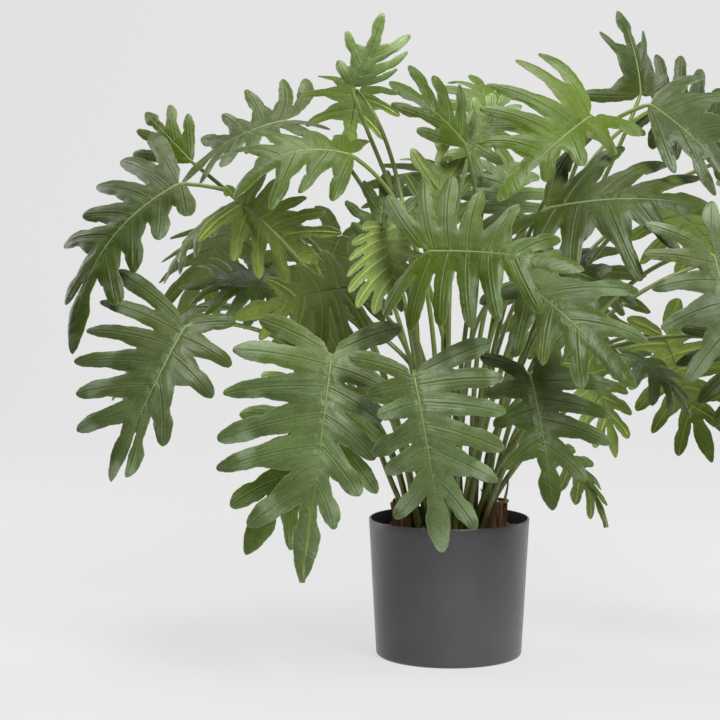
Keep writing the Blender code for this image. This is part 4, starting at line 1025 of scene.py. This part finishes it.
@cache
def top_material(tint):
    """A leaf's upper side: soft gloss, fine streaks along the lobes, puckers by the midrib, folded veins with
    a pale band that is partly painted highlight and a painted shade line in their crease, a pale rim that is
    a painted highlight, and a whitish painted sheen in patches on the ends of the lobes."""
    colour = TINTS[tint][0]
    shader = Shader("leaf_top_" + tint)
    base = shader.over(scaled(colour, 0.68), scaled(colour, 1.22), shader.noise(24, 3), 0.32, 0.68)
    streaks = shader.streaks(0.8, 3)
    base = shader.over(base, scaled(colour, 1.45), streaks, 0.42, 0.72, 0.0, 0.45)
    base = shader.over(base, scaled(colour, 0.62), streaks, 0.30, 0.50, 0.45, 0.0)
    warm = (colour[0] * 1.35, colour[1] * 1.12, colour[2] * 0.8)
    base = shader.over_at(base, warm, "tone", -1, 1, 0.0, 0.45)
    base = shader.over_at(base, scaled(warm, 1.15), "along", 0.0, 0.22, 0.35, 0.0)
    # painted sheen: whitish patches on the lobe ends, a painted highlight where the surface turns to the
    # light
    painted_sheen = (colour[0] * 0.6 + 0.18, colour[1] * 0.6 + 0.23, colour[2] * 0.6 + 0.15)
    spread = shader.math("ADD", shader.noise(30, 1), shader.math("MULTIPLY", streaks, 0.3))
    patches = shader.ramp(spread, 0.60, 0.80)
    sheen_on_end = shader.ramp(shader.attribute("end"), 0.30, 0.9, 0.12 * PAINTED_SHEEN[tint], PAINTED_SHEEN[tint])
    base = shader.mix(shader.math("MULTIPLY", patches, sheen_on_end), base, painted_sheen)
    # vein colour: paler vein tissue, made paler still as a painted highlight on the folded ridge beside the
    # vein
    vein = (colour[0] * 1.6 + 0.03, colour[1] * 1.45 + 0.035, colour[2] * 1.3 + 0.02)
    base = shader.over_at(base, vein, "vein", 0.8, 3.0, 0.34, 0.0)
    # a thin painted shade line in the vein's crease
    base = shader.over_at(base, scaled(colour, 0.5), "vein", 0.2, 0.75, 0.34, 0.0)
    # a pale rim along the upper side's edge: painted highlight
    base = shader.over_at(base, scaled(vein, 1.15), "rim", 0.0, 1.3, 0.5, 0.0)
    base = shader.grained(base)
    roughness = shader.ramp(shader.noise(60, 2), 0.25, 0.75, 0.36, 0.48)
    near_rib = shader.ramp(shader.attribute("rib"), 2.0, 11.0, 1.0, 0.0)
    near_joint = shader.ramp(shader.attribute("along"), 0.45, 0.8, 1.0, 0.0)
    puckered = shader.math("MULTIPLY", near_rib, near_joint)
    pucker = shader.bump(shader.math("MULTIPLY", shader.noise(150, 1), puckered), 0.0016, 0.7)
    folded = shader.bump(shader.ramp(shader.attribute("vein"), 0.6, 3.6, 1.0, 0.0), 0.0009, 0.8, pucker)
    fine = shader.bump(streaks, 0.0003, 0.8, folded)
    pleats = shader.bump(shader.streaks(0.20, 1), 0.0013, 0.8, fine)
    swell = shader.bump(shader.noise(32, 1), 0.0040, 0.6, pleats)
    return shader.finish(base, roughness, swell, 0.30)


@cache
def under_material(tint):
    """A leaf's underside: duller and yellower, brightened as painted light that shines through the leaf, with
    raised pale veins.
    """
    colour = TINTS[tint][1]
    shader = Shader("leaf_under_" + tint)
    base = shader.over(scaled(colour, 0.84), scaled(colour, 1.14), shader.noise(42, 3), 0.3, 0.7)
    streaks = shader.streaks(0.8, 3)
    base = shader.over(base, scaled(colour, 0.60), streaks, 0.30, 0.70, 0.0, 0.6)
    base = shader.over_at(base, scaled(colour, 0.72), "tone", -1, 1, 0.0, 0.3)
    vein = (colour[0] * 1.45 + 0.02, colour[1] * 1.3 + 0.02, colour[2] * 1.3)
    base = shader.over_at(base, vein, "vein", 0.4, 1.2, 0.8, 0.0)
    base = shader.grained(base)
    roughness = shader.ramp(shader.noise(60, 2), 0.25, 0.75, 0.44, 0.56)
    pleats = shader.bump(shader.streaks(0.20, 1), 0.0018, 0.8, shader.bump(streaks, 0.0005, 0.8))
    return shader.finish(base, roughness, pleats, 0.4)


@cache
def painted_highlight_rim_material():
    """The leaf's edge strip, paler green as a painted highlight where the edge catches the light."""
    shader = Shader("leaf_rim_painted_highlight")
    base = shader.mix(shader.noise(80, 2), (0.13, 0.19, 0.07), (0.21, 0.28, 0.11))
    return shader.finish(base, 0.5)


@cache
def stalk_material():
    """Olive stalks, paler and yellower up to the blade, with painted shade in their channel, and brown at
    their feet.
    """
    shader = Shader("stalk")
    along = shader.attribute("along")
    base = shader.over((0.125, 0.170, 0.032), (0.170, 0.245, 0.042), along, 0.2, 1.0)
    base = shader.over(base, (0.100, 0.085, 0.028), along, 0.0, 0.12, 0.5, 0.0)
    # painted shade along the channel on the stalk's upper side
    base = shader.over_at(base, (0.045, 0.075, 0.015), "tone", 0.2, 1.0, 0.0, 0.5)
    base = shader.over(base, (0.190, 0.240, 0.060), shader.noise(420, 3, (1, 1, 0.06)), 0.35, 0.7)
    grain = shader.bump(shader.noise(600, 2, (1, 1, 0.1)), 0.0003, 0.5)
    return shader.finish(base, 0.36, grain)


@cache
def midrib_material():
    """The midrib: pale, and greener to the leaf's tip."""
    shader = Shader("midrib")
    base = shader.mix(shader.noise(60, 2), (0.150, 0.205, 0.050), (0.215, 0.275, 0.085))
    base = shader.over_at(base, (0.085, 0.130, 0.035), "along", 1.25, 1.95)
    return shader.finish(base, 0.4, shader.bump(shader.noise(500, 2), 0.0002, 0.4))


def turned(profile, sides):
    """Points and triangles of a turned solid; a radius of 0 closes it on the axis."""
    points, rings = [], []
    for radius, z in profile:
        if radius == 0:
            rings.append([len(points)])
            points.append((0, 0, z))
            continue
        rings.append(list(range(len(points), len(points) + sides)))
        points += [(radius * math.cos(math.tau * k / sides), radius * math.sin(math.tau * k / sides), z)
                   for k in range(sides)]
    triangles = []
    for low, high in zip(rings, rings[1:]):
        for k in range(sides):
            a, b = low[k % len(low)], low[(k + 1) % sides % len(low)]
            c, d = high[(k + 1) % sides % len(high)], high[k % len(high)]
            if a != b:
                triangles.append((a, b, c))
            if c != d:
                triangles.append((a, c, d))
    return np.array(points), np.array(triangles)


def arc(middle, radius, start, end):
    """Points (r, z) of an arc, by angles in degrees from the outward way."""
    turns = [math.radians(start + (end - start) * k / ARC_STEPS) for k in range(ARC_STEPS + 1)]
    return [(middle[0] + radius * math.cos(turn), middle[1] + radius * math.sin(turn)) for turn in turns]


def pot_outer_radius(z):
    """The pot's outer radius at a height."""
    return POT_FOOT_RADIUS + (POT_TOP_RADIUS - POT_FOOT_RADIUS) * z / POT_HEIGHT


def make_pot():
    """A thin-walled tapered pot with a rounded foot and a rounded rim."""
    lip = POT_WALL / 2
    profile = [(0, 0), (POT_FOOT_RADIUS * 0.6, 0)]
    profile += arc((pot_outer_radius(POT_EDGE) - POT_EDGE, POT_EDGE), POT_EDGE, -90, 0)
    profile += [(pot_outer_radius(z * MM), z * MM) for z in (20, 50, 80, 110, 130)]
    profile += arc((POT_TOP_RADIUS - lip, POT_HEIGHT - lip), lip, 0, 180)
    profile += [(pot_outer_radius(z * MM) - POT_WALL, z * MM) for z in (130, 110, 60, 10, 2.2)]
    profile.append((0, POT_WALL))
    points, triangles = turned(profile, POT_SIDES)
    middles = points[triangles].mean(axis=1)
    deep = np.hypot(middles[:, 0], middles[:, 1]) < pot_outer_radius(middles[:, 2]) - POT_WALL * 0.8
    # the inside faces get a darker material: painted shade inside the pot
    kinds = (deep & (middles[:, 2] > POT_WALL / 2)).astype(int)
    pot = mesh_object("pot_body", points, triangles, kinds, [pot_material(), pot_inside_painted_shade_material()])
    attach(pot, "root")
    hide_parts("pot")


def pot_material():
    """Satin charcoal plastic with a very fine grain and a few faint scuffs."""
    shader = Shader("pot_plastic")
    base = shader.over((0.056, 0.056, 0.060), (0.066, 0.066, 0.071), shader.noise(22, 4), 0.3, 0.7)
    roughness = shader.ramp(shader.noise(140, 4), 0.3, 0.7, 0.28, 0.36)
    grain = shader.bump(shader.noise(1600, 2), 0.00008, 0.6)
    return shader.finish(base, roughness, grain, 0.5)


def pot_inside_painted_shade_material():
    """The pot's dull inside, darker as painted shade."""
    shader = Shader("pot_inside_painted_shade")
    base = shader.mix(shader.noise(60, 3), (0.012, 0.012, 0.013), (0.020, 0.020, 0.021))
    return shader.finish(base, 0.7, specular=0.1)


def ripple(x, y, draw, waves):
    """A sum of seeded waves at the places (x, y)."""
    total = np.zeros_like(x)
    for length, height in waves:
        for _ in range(3):
            turn, phase = draw.uniform(0, math.tau), draw.uniform(0, math.tau)
            total += height * np.sin((x * math.cos(turn) + y * math.sin(turn)) / length * math.tau + phase)
    return total


def soil_height(x, y, draw):
    """The height of the soil's top at the places (x, y)."""
    reach = np.hypot(x, y) / POT_TOP_RADIUS
    crown = SOIL_TOP + SOIL_CROWN * (1 - reach ** 2)
    return crown + ripple(x, y, draw, SOIL_WAVES)


def make_soil():
    """The soil's rough top, on a shallow plug that fills the pot's mouth."""
    rings, sides = SOIL_RINGS, SOIL_SIDES
    rim = pot_outer_radius(SOIL_TOP) - POT_WALL - SOIL_GAP
    radii = rim * (np.arange(rings + 1) / rings)
    r, turn = np.meshgrid(radii[1:], np.arange(sides) / sides * math.tau, indexing="ij")
    x, y = (r * np.cos(turn)).ravel(), (r * np.sin(turn)).ravel()
    x, y = np.append(x, 0), np.append(y, 0)
    top = np.stack([x, y, soil_height(x, y, random.Random(SEED))], axis=1)
    triangles = []
    for ring in range(rings - 1):
        for k in range(sides):
            a, b = ring * sides + k, ring * sides + (k + 1) % sides
            c, d = b + sides, a + sides
            triangles += [(a, c, b), (a, d, c)]
    middle = rings * sides
    triangles += [(middle, k, (k + 1) % sides) for k in range(sides)]
    low = top[(rings - 1) * sides: rings * sides].copy()
    low[:, :2] *= pot_outer_radius(SOIL_TOP - SOIL_DEPTH) / pot_outer_radius(SOIL_TOP)
    low[:, 2] = SOIL_TOP - SOIL_DEPTH
    floor = len(top)
    points = np.vstack([top, low, [[0, 0, SOIL_TOP - SOIL_DEPTH]]])
    for k in range(sides):
        a, b = (rings - 1) * sides + k, (rings - 1) * sides + (k + 1) % sides
        c, d = floor + (k + 1) % sides, floor + k
        triangles += [(a, d, c), (a, c, b), (floor + sides, c, d)]
    triangles = np.array(triangles)
    kinds = np.zeros(len(triangles))
    soil = mesh_object("soil_bed", points, triangles, kinds, [soil_material()], angle=80)
    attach(soil, "root")
    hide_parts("soil")


@cache
def soil_material():
    """Dark reddish brown, crumbly and dull."""
    shader = Shader("soil_fibre")
    base = shader.over((0.050, 0.029, 0.016), (0.210, 0.125, 0.068), shader.noise(260, 4), 0.35, 0.65)
    base = shader.over(base, (0.340, 0.220, 0.130), shader.noise(900, 2), 0.60, 0.72)
    bumps = shader.bump(shader.noise(500, 4), 0.0015, 0.9)
    return shader.finish(base, 0.92, bumps, 0.2)


def crumb(draw, middle, size):
    """A rough lump with six corners and eight faces."""
    corners = [(1, 0, 0), (-1, 0, 0), (0, 1, 0), (0, -1, 0), (0, 0, 1), (0, 0, -1)]
    faces = [(0, 2, 4), (2, 1, 4), (1, 3, 4), (3, 0, 4), (2, 0, 5), (1, 2, 5), (3, 1, 5), (0, 3, 5)]
    stretch = [draw.uniform(0.5, 1.2) for _ in range(3)]
    turn = draw.uniform(0, math.tau)
    points = []
    for corner in corners:
        x, y, z = (corner[k] * stretch[k] * size * draw.uniform(0.75, 1.2) for k in range(3))
        points.append((middle[0] + x * math.cos(turn) - y * math.sin(turn),
                       middle[1] + x * math.sin(turn) + y * math.cos(turn), middle[2] + z * 0.7))
    return points, faces


def make_crumbs():
    """Small lumps and bits of bark that lie on the soil."""
    draw = random.Random(SEED + 1)
    level = random.Random(SEED)
    places = []
    for _ in range(CRUMBS):
        reach = (pot_outer_radius(SOIL_TOP) - CRUMB_INSET) * math.sqrt(draw.random())
        turn = draw.uniform(0, math.tau)
        places.append((reach * math.cos(turn), reach * math.sin(turn)))
    places = np.array(places)
    heights = soil_height(places[:, 0], places[:, 1], level)
    points, triangles = [], []
    for (x, y), z in zip(places, heights):
        size = draw.uniform(0.4, 1.0) ** 2 * 4.0 * MM
        more, faces = crumb(draw, (x, y, z + size * 0.3), size)
        triangles += [tuple(corner + len(points) for corner in face) for face in faces]
        points += more
    crumbs = mesh_object("soil_crumbs", np.array(points), np.array(triangles), np.zeros(len(triangles)),
                         [soil_material()], angle=20)
    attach(crumbs, "root")


def tube(path, radii, sides, points, triangles):
    """Adds a closed tube along a path to points and triangles."""
    path = np.asarray(path)
    ahead, up = frames_along(path, (0.31, 0.25, 0.92))
    across = np.cross(ahead, up)
    turns = np.arange(sides) / sides * math.tau
    rings = ring_ways(turns, up, across)
    found = (path[:, None, :] + rings * np.asarray(radii)[:, None, None]).reshape(-1, 3)
    first = len(points)
    points.extend(map(tuple, found))
    for k in range(len(path) - 1):
        for j in range(sides):
            a, b = first + k * sides + j, first + k * sides + (j + 1) % sides
            triangles.append((a, b, b + sides))
            triangles.append((a, b + sides, a + sides))
    last = first + (len(path) - 1) * sides
    for j in range(1, sides - 1):
        triangles.append((first, first + j + 1, first + j))
        triangles.append((last, last + j, last + j + 1))


def make_fibres():
    """Fine curled fibres that lie on the soil."""
    draw = random.Random(SEED + 2)
    points, triangles = [], []
    for _ in range(FIBRES):
        reach = FIBRE_STARTS * math.sqrt(draw.random())
        turn = draw.uniform(0, math.tau)
        place = np.array([reach * math.cos(turn), reach * math.sin(turn)])
        heading, bend = draw.uniform(0, math.tau), draw.uniform(-0.35, 0.35)
        line = []
        for _ in range(FIBRE_STEPS):
            line.append(place.copy())
            place = place + np.array([math.cos(heading), math.sin(heading)]) * draw.uniform(0.9, 1.8) * MM
            heading += bend + draw.uniform(-0.15, 0.15)
            if np.hypot(*place) > FIBRE_ENDS:
                break
        if len(line) < 4:
            continue
        line = np.array(line)
        z = soil_height(line[:, 0], line[:, 1], random.Random(SEED)) + 0.4 * MM
        hump = np.sin(np.linspace(0, math.pi, len(line))) * draw.uniform(0.2, 2.2) * MM
        radii = np.linspace(0.32, 0.16, len(line)) * MM
        tube(np.column_stack([line, z + hump]), radii, 4, points, triangles)
    fibres = mesh_object("soil_fibres", np.array(points), np.array(triangles), np.zeros(len(triangles)),
                         [fibre_material()])
    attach(fibres, "root")


@cache
def fibre_material():
    """Tan dry fibre."""
    shader = Shader("tan_fibre")
    base = shader.mix(shader.noise(120, 2), (0.130, 0.070, 0.035), (0.380, 0.240, 0.125))
    return shader.finish(base, 0.7)


def make_sheath(name, middle, height):
    """A stub of old leaf bases: ragged brown strips of uneven height round a core."""
    draw = random.Random(name)
    base = SOIL_TOP - SHEATH_SUNK
    top = SOIL_TOP + SOIL_CROWN + height
    points, triangles = [], []
    for reach, strips, low, high in SHEATH_LAYERS:
        for strip in range(strips):
            turn = math.tau * (strip + draw.uniform(-0.2, 0.2)) / strips
            wide = math.tau / strips * draw.uniform(1.05, 1.5)
            end = base + (top - base) * draw.uniform(low, high)
            add_strip(draw, middle, SHEATH_RADIUS * reach, turn, wide, base, end, points, triangles)
    strip_count = len(triangles)
    add_curls(draw, middle, top, points, triangles)
    kinds = np.arange(len(triangles)) >= strip_count
    wrap = mesh_object(name + "_wrap", np.array(points), np.array(triangles), kinds,
                       [sheath_material(), fibre_material()], angle=60)
    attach(wrap, "root")
    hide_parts(name)


def add_curls(draw, middle, top, points, triangles):
    """The dry rim that has curled round a stub's top, and two fibres that stand up from it."""
    turns = np.linspace(0, 4.4, CURL_STEPS) + draw.uniform(-2.6, -1.8)
    wave = np.cumsum([draw.uniform(-0.5, 0.5) for _ in turns]) * MM
    reach = SHEATH_RADIUS + 0.2 * MM + 0.4 * wave
    rim = np.column_stack([middle[0] + reach * np.cos(turns), middle[1] + reach * np.sin(turns),
                           top - 2.4 * MM + 0.5 * wave])
    tube(rim, CURL_RADIUS * np.sin(np.linspace(0.25, 2.9, len(turns))), 7, points, triangles)
    for turn, rise, out in ((draw.uniform(-1.1, -0.3), 30, 9), (draw.uniform(-2.6, -2.0), 14, 5)):
        s = np.linspace(0, 1, STRAY_STEPS)
        reach = SHEATH_RADIUS - 1 * MM + out * MM * s ** 1.6
        sway = turn + 0.15 * np.sin(5 * s)
        line = np.column_stack([middle[0] + reach * np.cos(sway), middle[1] + reach * np.sin(sway),
                                top - 3 * MM + rise * MM * s])
        tube(line, np.linspace(1.7, 0.5, STRAY_STEPS) * MM, 5, points, triangles)


def add_strip(draw, middle, radius, turn, wide, base, end, points, triangles):
    """One dry strip: curved round the stub, ribbed, flared and torn at its top."""
    rows, columns = STRIP_ROWS, STRIP_COLUMNS
    flare, lean = draw.uniform(0.0, 2.2) * MM, draw.uniform(-0.15, 0.15)
    first = len(points)
    torn = [draw.uniform(-2.5, 0.5) * MM for _ in range(columns)]
    for shift in (STRIP_THICK / 2, -STRIP_THICK / 2):
        for row in range(rows):
            share = row / (rows - 1)
            for column in range(columns):
                across = column / (columns - 1) - 0.5
                rib = 0.45 * MM * math.cos(column * math.pi)
                r = radius + shift + rib + flare * share ** 3 - 0.8 * MM * (1 - share)
                angle = turn + across * wide * (1 - 0.15 * share) + lean * share
                z = base + (end - base) * share + torn[column] * share ** 4
                points.append((middle[0] + r * math.cos(angle), middle[1] + r * math.sin(angle), z))
    count = rows * columns

    def quad(a, b, c, d):
        triangles.extend([(a, b, c), (a, c, d)])

    for row in range(rows - 1):
        for column in range(columns - 1):
            a = first + row * columns + column
            quad(a, a + 1, a + columns + 1, a + columns)
            quad(a + count, a + count + columns, a + count + columns + 1, a + count + 1)
        for column, flip in ((0, False), (columns - 1, True)):
            a = first + row * columns + column
            if flip:
                quad(a, a + count, a + count + columns, a + columns)
            else:
                quad(a, a + columns, a + count + columns, a + count)
    for row, flip in ((0, True), (rows - 1, False)):
        for column in range(columns - 1):
            a = first + row * columns + column
            if flip:
                quad(a, a + count, a + count + 1, a + 1)
            else:
                quad(a, a + 1, a + count + 1, a + count)


@cache
def sheath_material():
    """Dry reddish brown with lengthwise streaks."""
    shader = Shader("dry_sheath")
    streaks = shader.noise(330, 4, (1, 1, 0.08))
    base = shader.over((0.070, 0.036, 0.019), (0.300, 0.160, 0.085), streaks, 0.3, 0.7)
    grain = shader.bump(shader.noise(600, 3, (1, 1, 0.08)), 0.0008, 0.8)
    return shader.finish(base, 0.72, grain, 0.3)


def make_stage():
    """A pale floor that turns up into a wall behind."""
    line = [(FLOOR_FRONT, 0.0), (FLOOR_BRIGHTENS, 0.0), (FLOOR_BACK, 0.0)]
    turns = np.linspace(0, math.pi / 2, 13)[1:]
    line += [(FLOOR_BACK + BEND * math.sin(t), BEND - BEND * math.cos(t)) for t in turns]
    line.append((FLOOR_BACK + BEND, WALL_HEIGHT))
    points = [(x, y, z) for y, z in line for x in (-FLOOR_WIDE, FLOOR_WIDE)]
    triangles = []
    for k in range(len(line) - 1):
        triangles += [(2 * k, 2 * k + 1, 2 * k + 3), (2 * k, 2 * k + 3, 2 * k + 2)]
    shader = Shader("pale_floor")
    shader.surface.inputs["Base Color"].default_value = (*FLOOR_COLOUR, 1)
    shader.surface.inputs["Roughness"].default_value = 1.0
    shader.surface.inputs["Specular IOR Level"].default_value = 0.0
    shader.surface.inputs["Emission Color"].default_value = (1, 1, 1, 1)
    axes = shader.node("ShaderNodeSeparateXYZ")
    shader.link(shader.node("ShaderNodeTexCoord").outputs["Object"], axes.inputs[0])
    strength = shader.attribute("glow")
    aside = shader.math("ABSOLUTE", axes.outputs["X"])
    for place, steps in ((aside, ASIDE), (axes.outputs["Y"], IN_FRONT), (axes.outputs["Z"], ABOVE)):
        strength = shader.math("MULTIPLY", strength, shader.ramp(place, *steps))
    shader.link(strength, shader.surface.inputs["Emission Strength"])
    points = np.array(points)
    rise = np.clip((points[:, 1] - FLOOR_BRIGHTENS) / 1.2, 0, 0.5) + np.clip(points[:, 2] / 0.6, 0, 0.5)
    glow = {"glow": FLOOR_GLOW + (WALL_GLOW - FLOOR_GLOW) * rise}
    kinds = np.zeros(len(triangles))
    floor = mesh_object("floor", points, np.array(triangles), kinds, [shader.material], glow)


def area_light(name, place, aim, size, power):
    """A soft rectangular light at a place, aimed at a point."""
    data = bpy.data.lights.new(name, "AREA")
    data.shape = "RECTANGLE"
    data.size, data.size_y = size
    data.energy = power
    light = bpy.data.objects.new(name, data)
    bpy.context.scene.collection.objects.link(light)
    light.location = place
    light.rotation_euler = (Vector(aim) - Vector(place)).to_track_quat("-Z", "Y").to_euler()


def make_light():
    """A faint even light from all round and the soft lights."""
    world = bpy.data.worlds.new("studio")
    bpy.context.scene.world = world
    world.use_nodes = True
    world.node_tree.nodes["Background"].inputs["Color"].default_value = (1, 1, 1, 1)
    world.node_tree.nodes["Background"].inputs["Strength"].default_value = WORLD_LIGHT
    for name, light in LIGHTS.items():
        area_light(name, *light)


def make_camera():
    """At the photograph's viewpoint: 2.3 m in front of the pot's axis, aimed left of it because the
    photograph's middle is there."""
    data = bpy.data.cameras.new("camera")
    data.sensor_width = SENSOR
    data.lens = LENS
    camera = bpy.data.objects.new("camera", data)
    bpy.context.scene.collection.objects.link(camera)
    camera.location = EYE
    camera.rotation_euler = (Vector(AIM) - camera.location).to_track_quat("-Z", "Y").to_euler()
    bpy.context.scene.camera = camera
    bpy.context.scene.view_settings.view_transform = "Standard"
    bpy.context.scene.view_settings.look = "None"


def main():
    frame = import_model()
    make_camera()
    make_stage()
    make_light()
    make_pot()
    make_soil()
    make_crumbs()
    make_fibres()
    for name, middle, height in SHEATHS:
        make_sheath(name, middle, height)
    for number, leaf in enumerate(LEAVES, 1):
        make_leaf(number, leaf, frame["nodes"][f"leaf_{number:02d}"])


main()
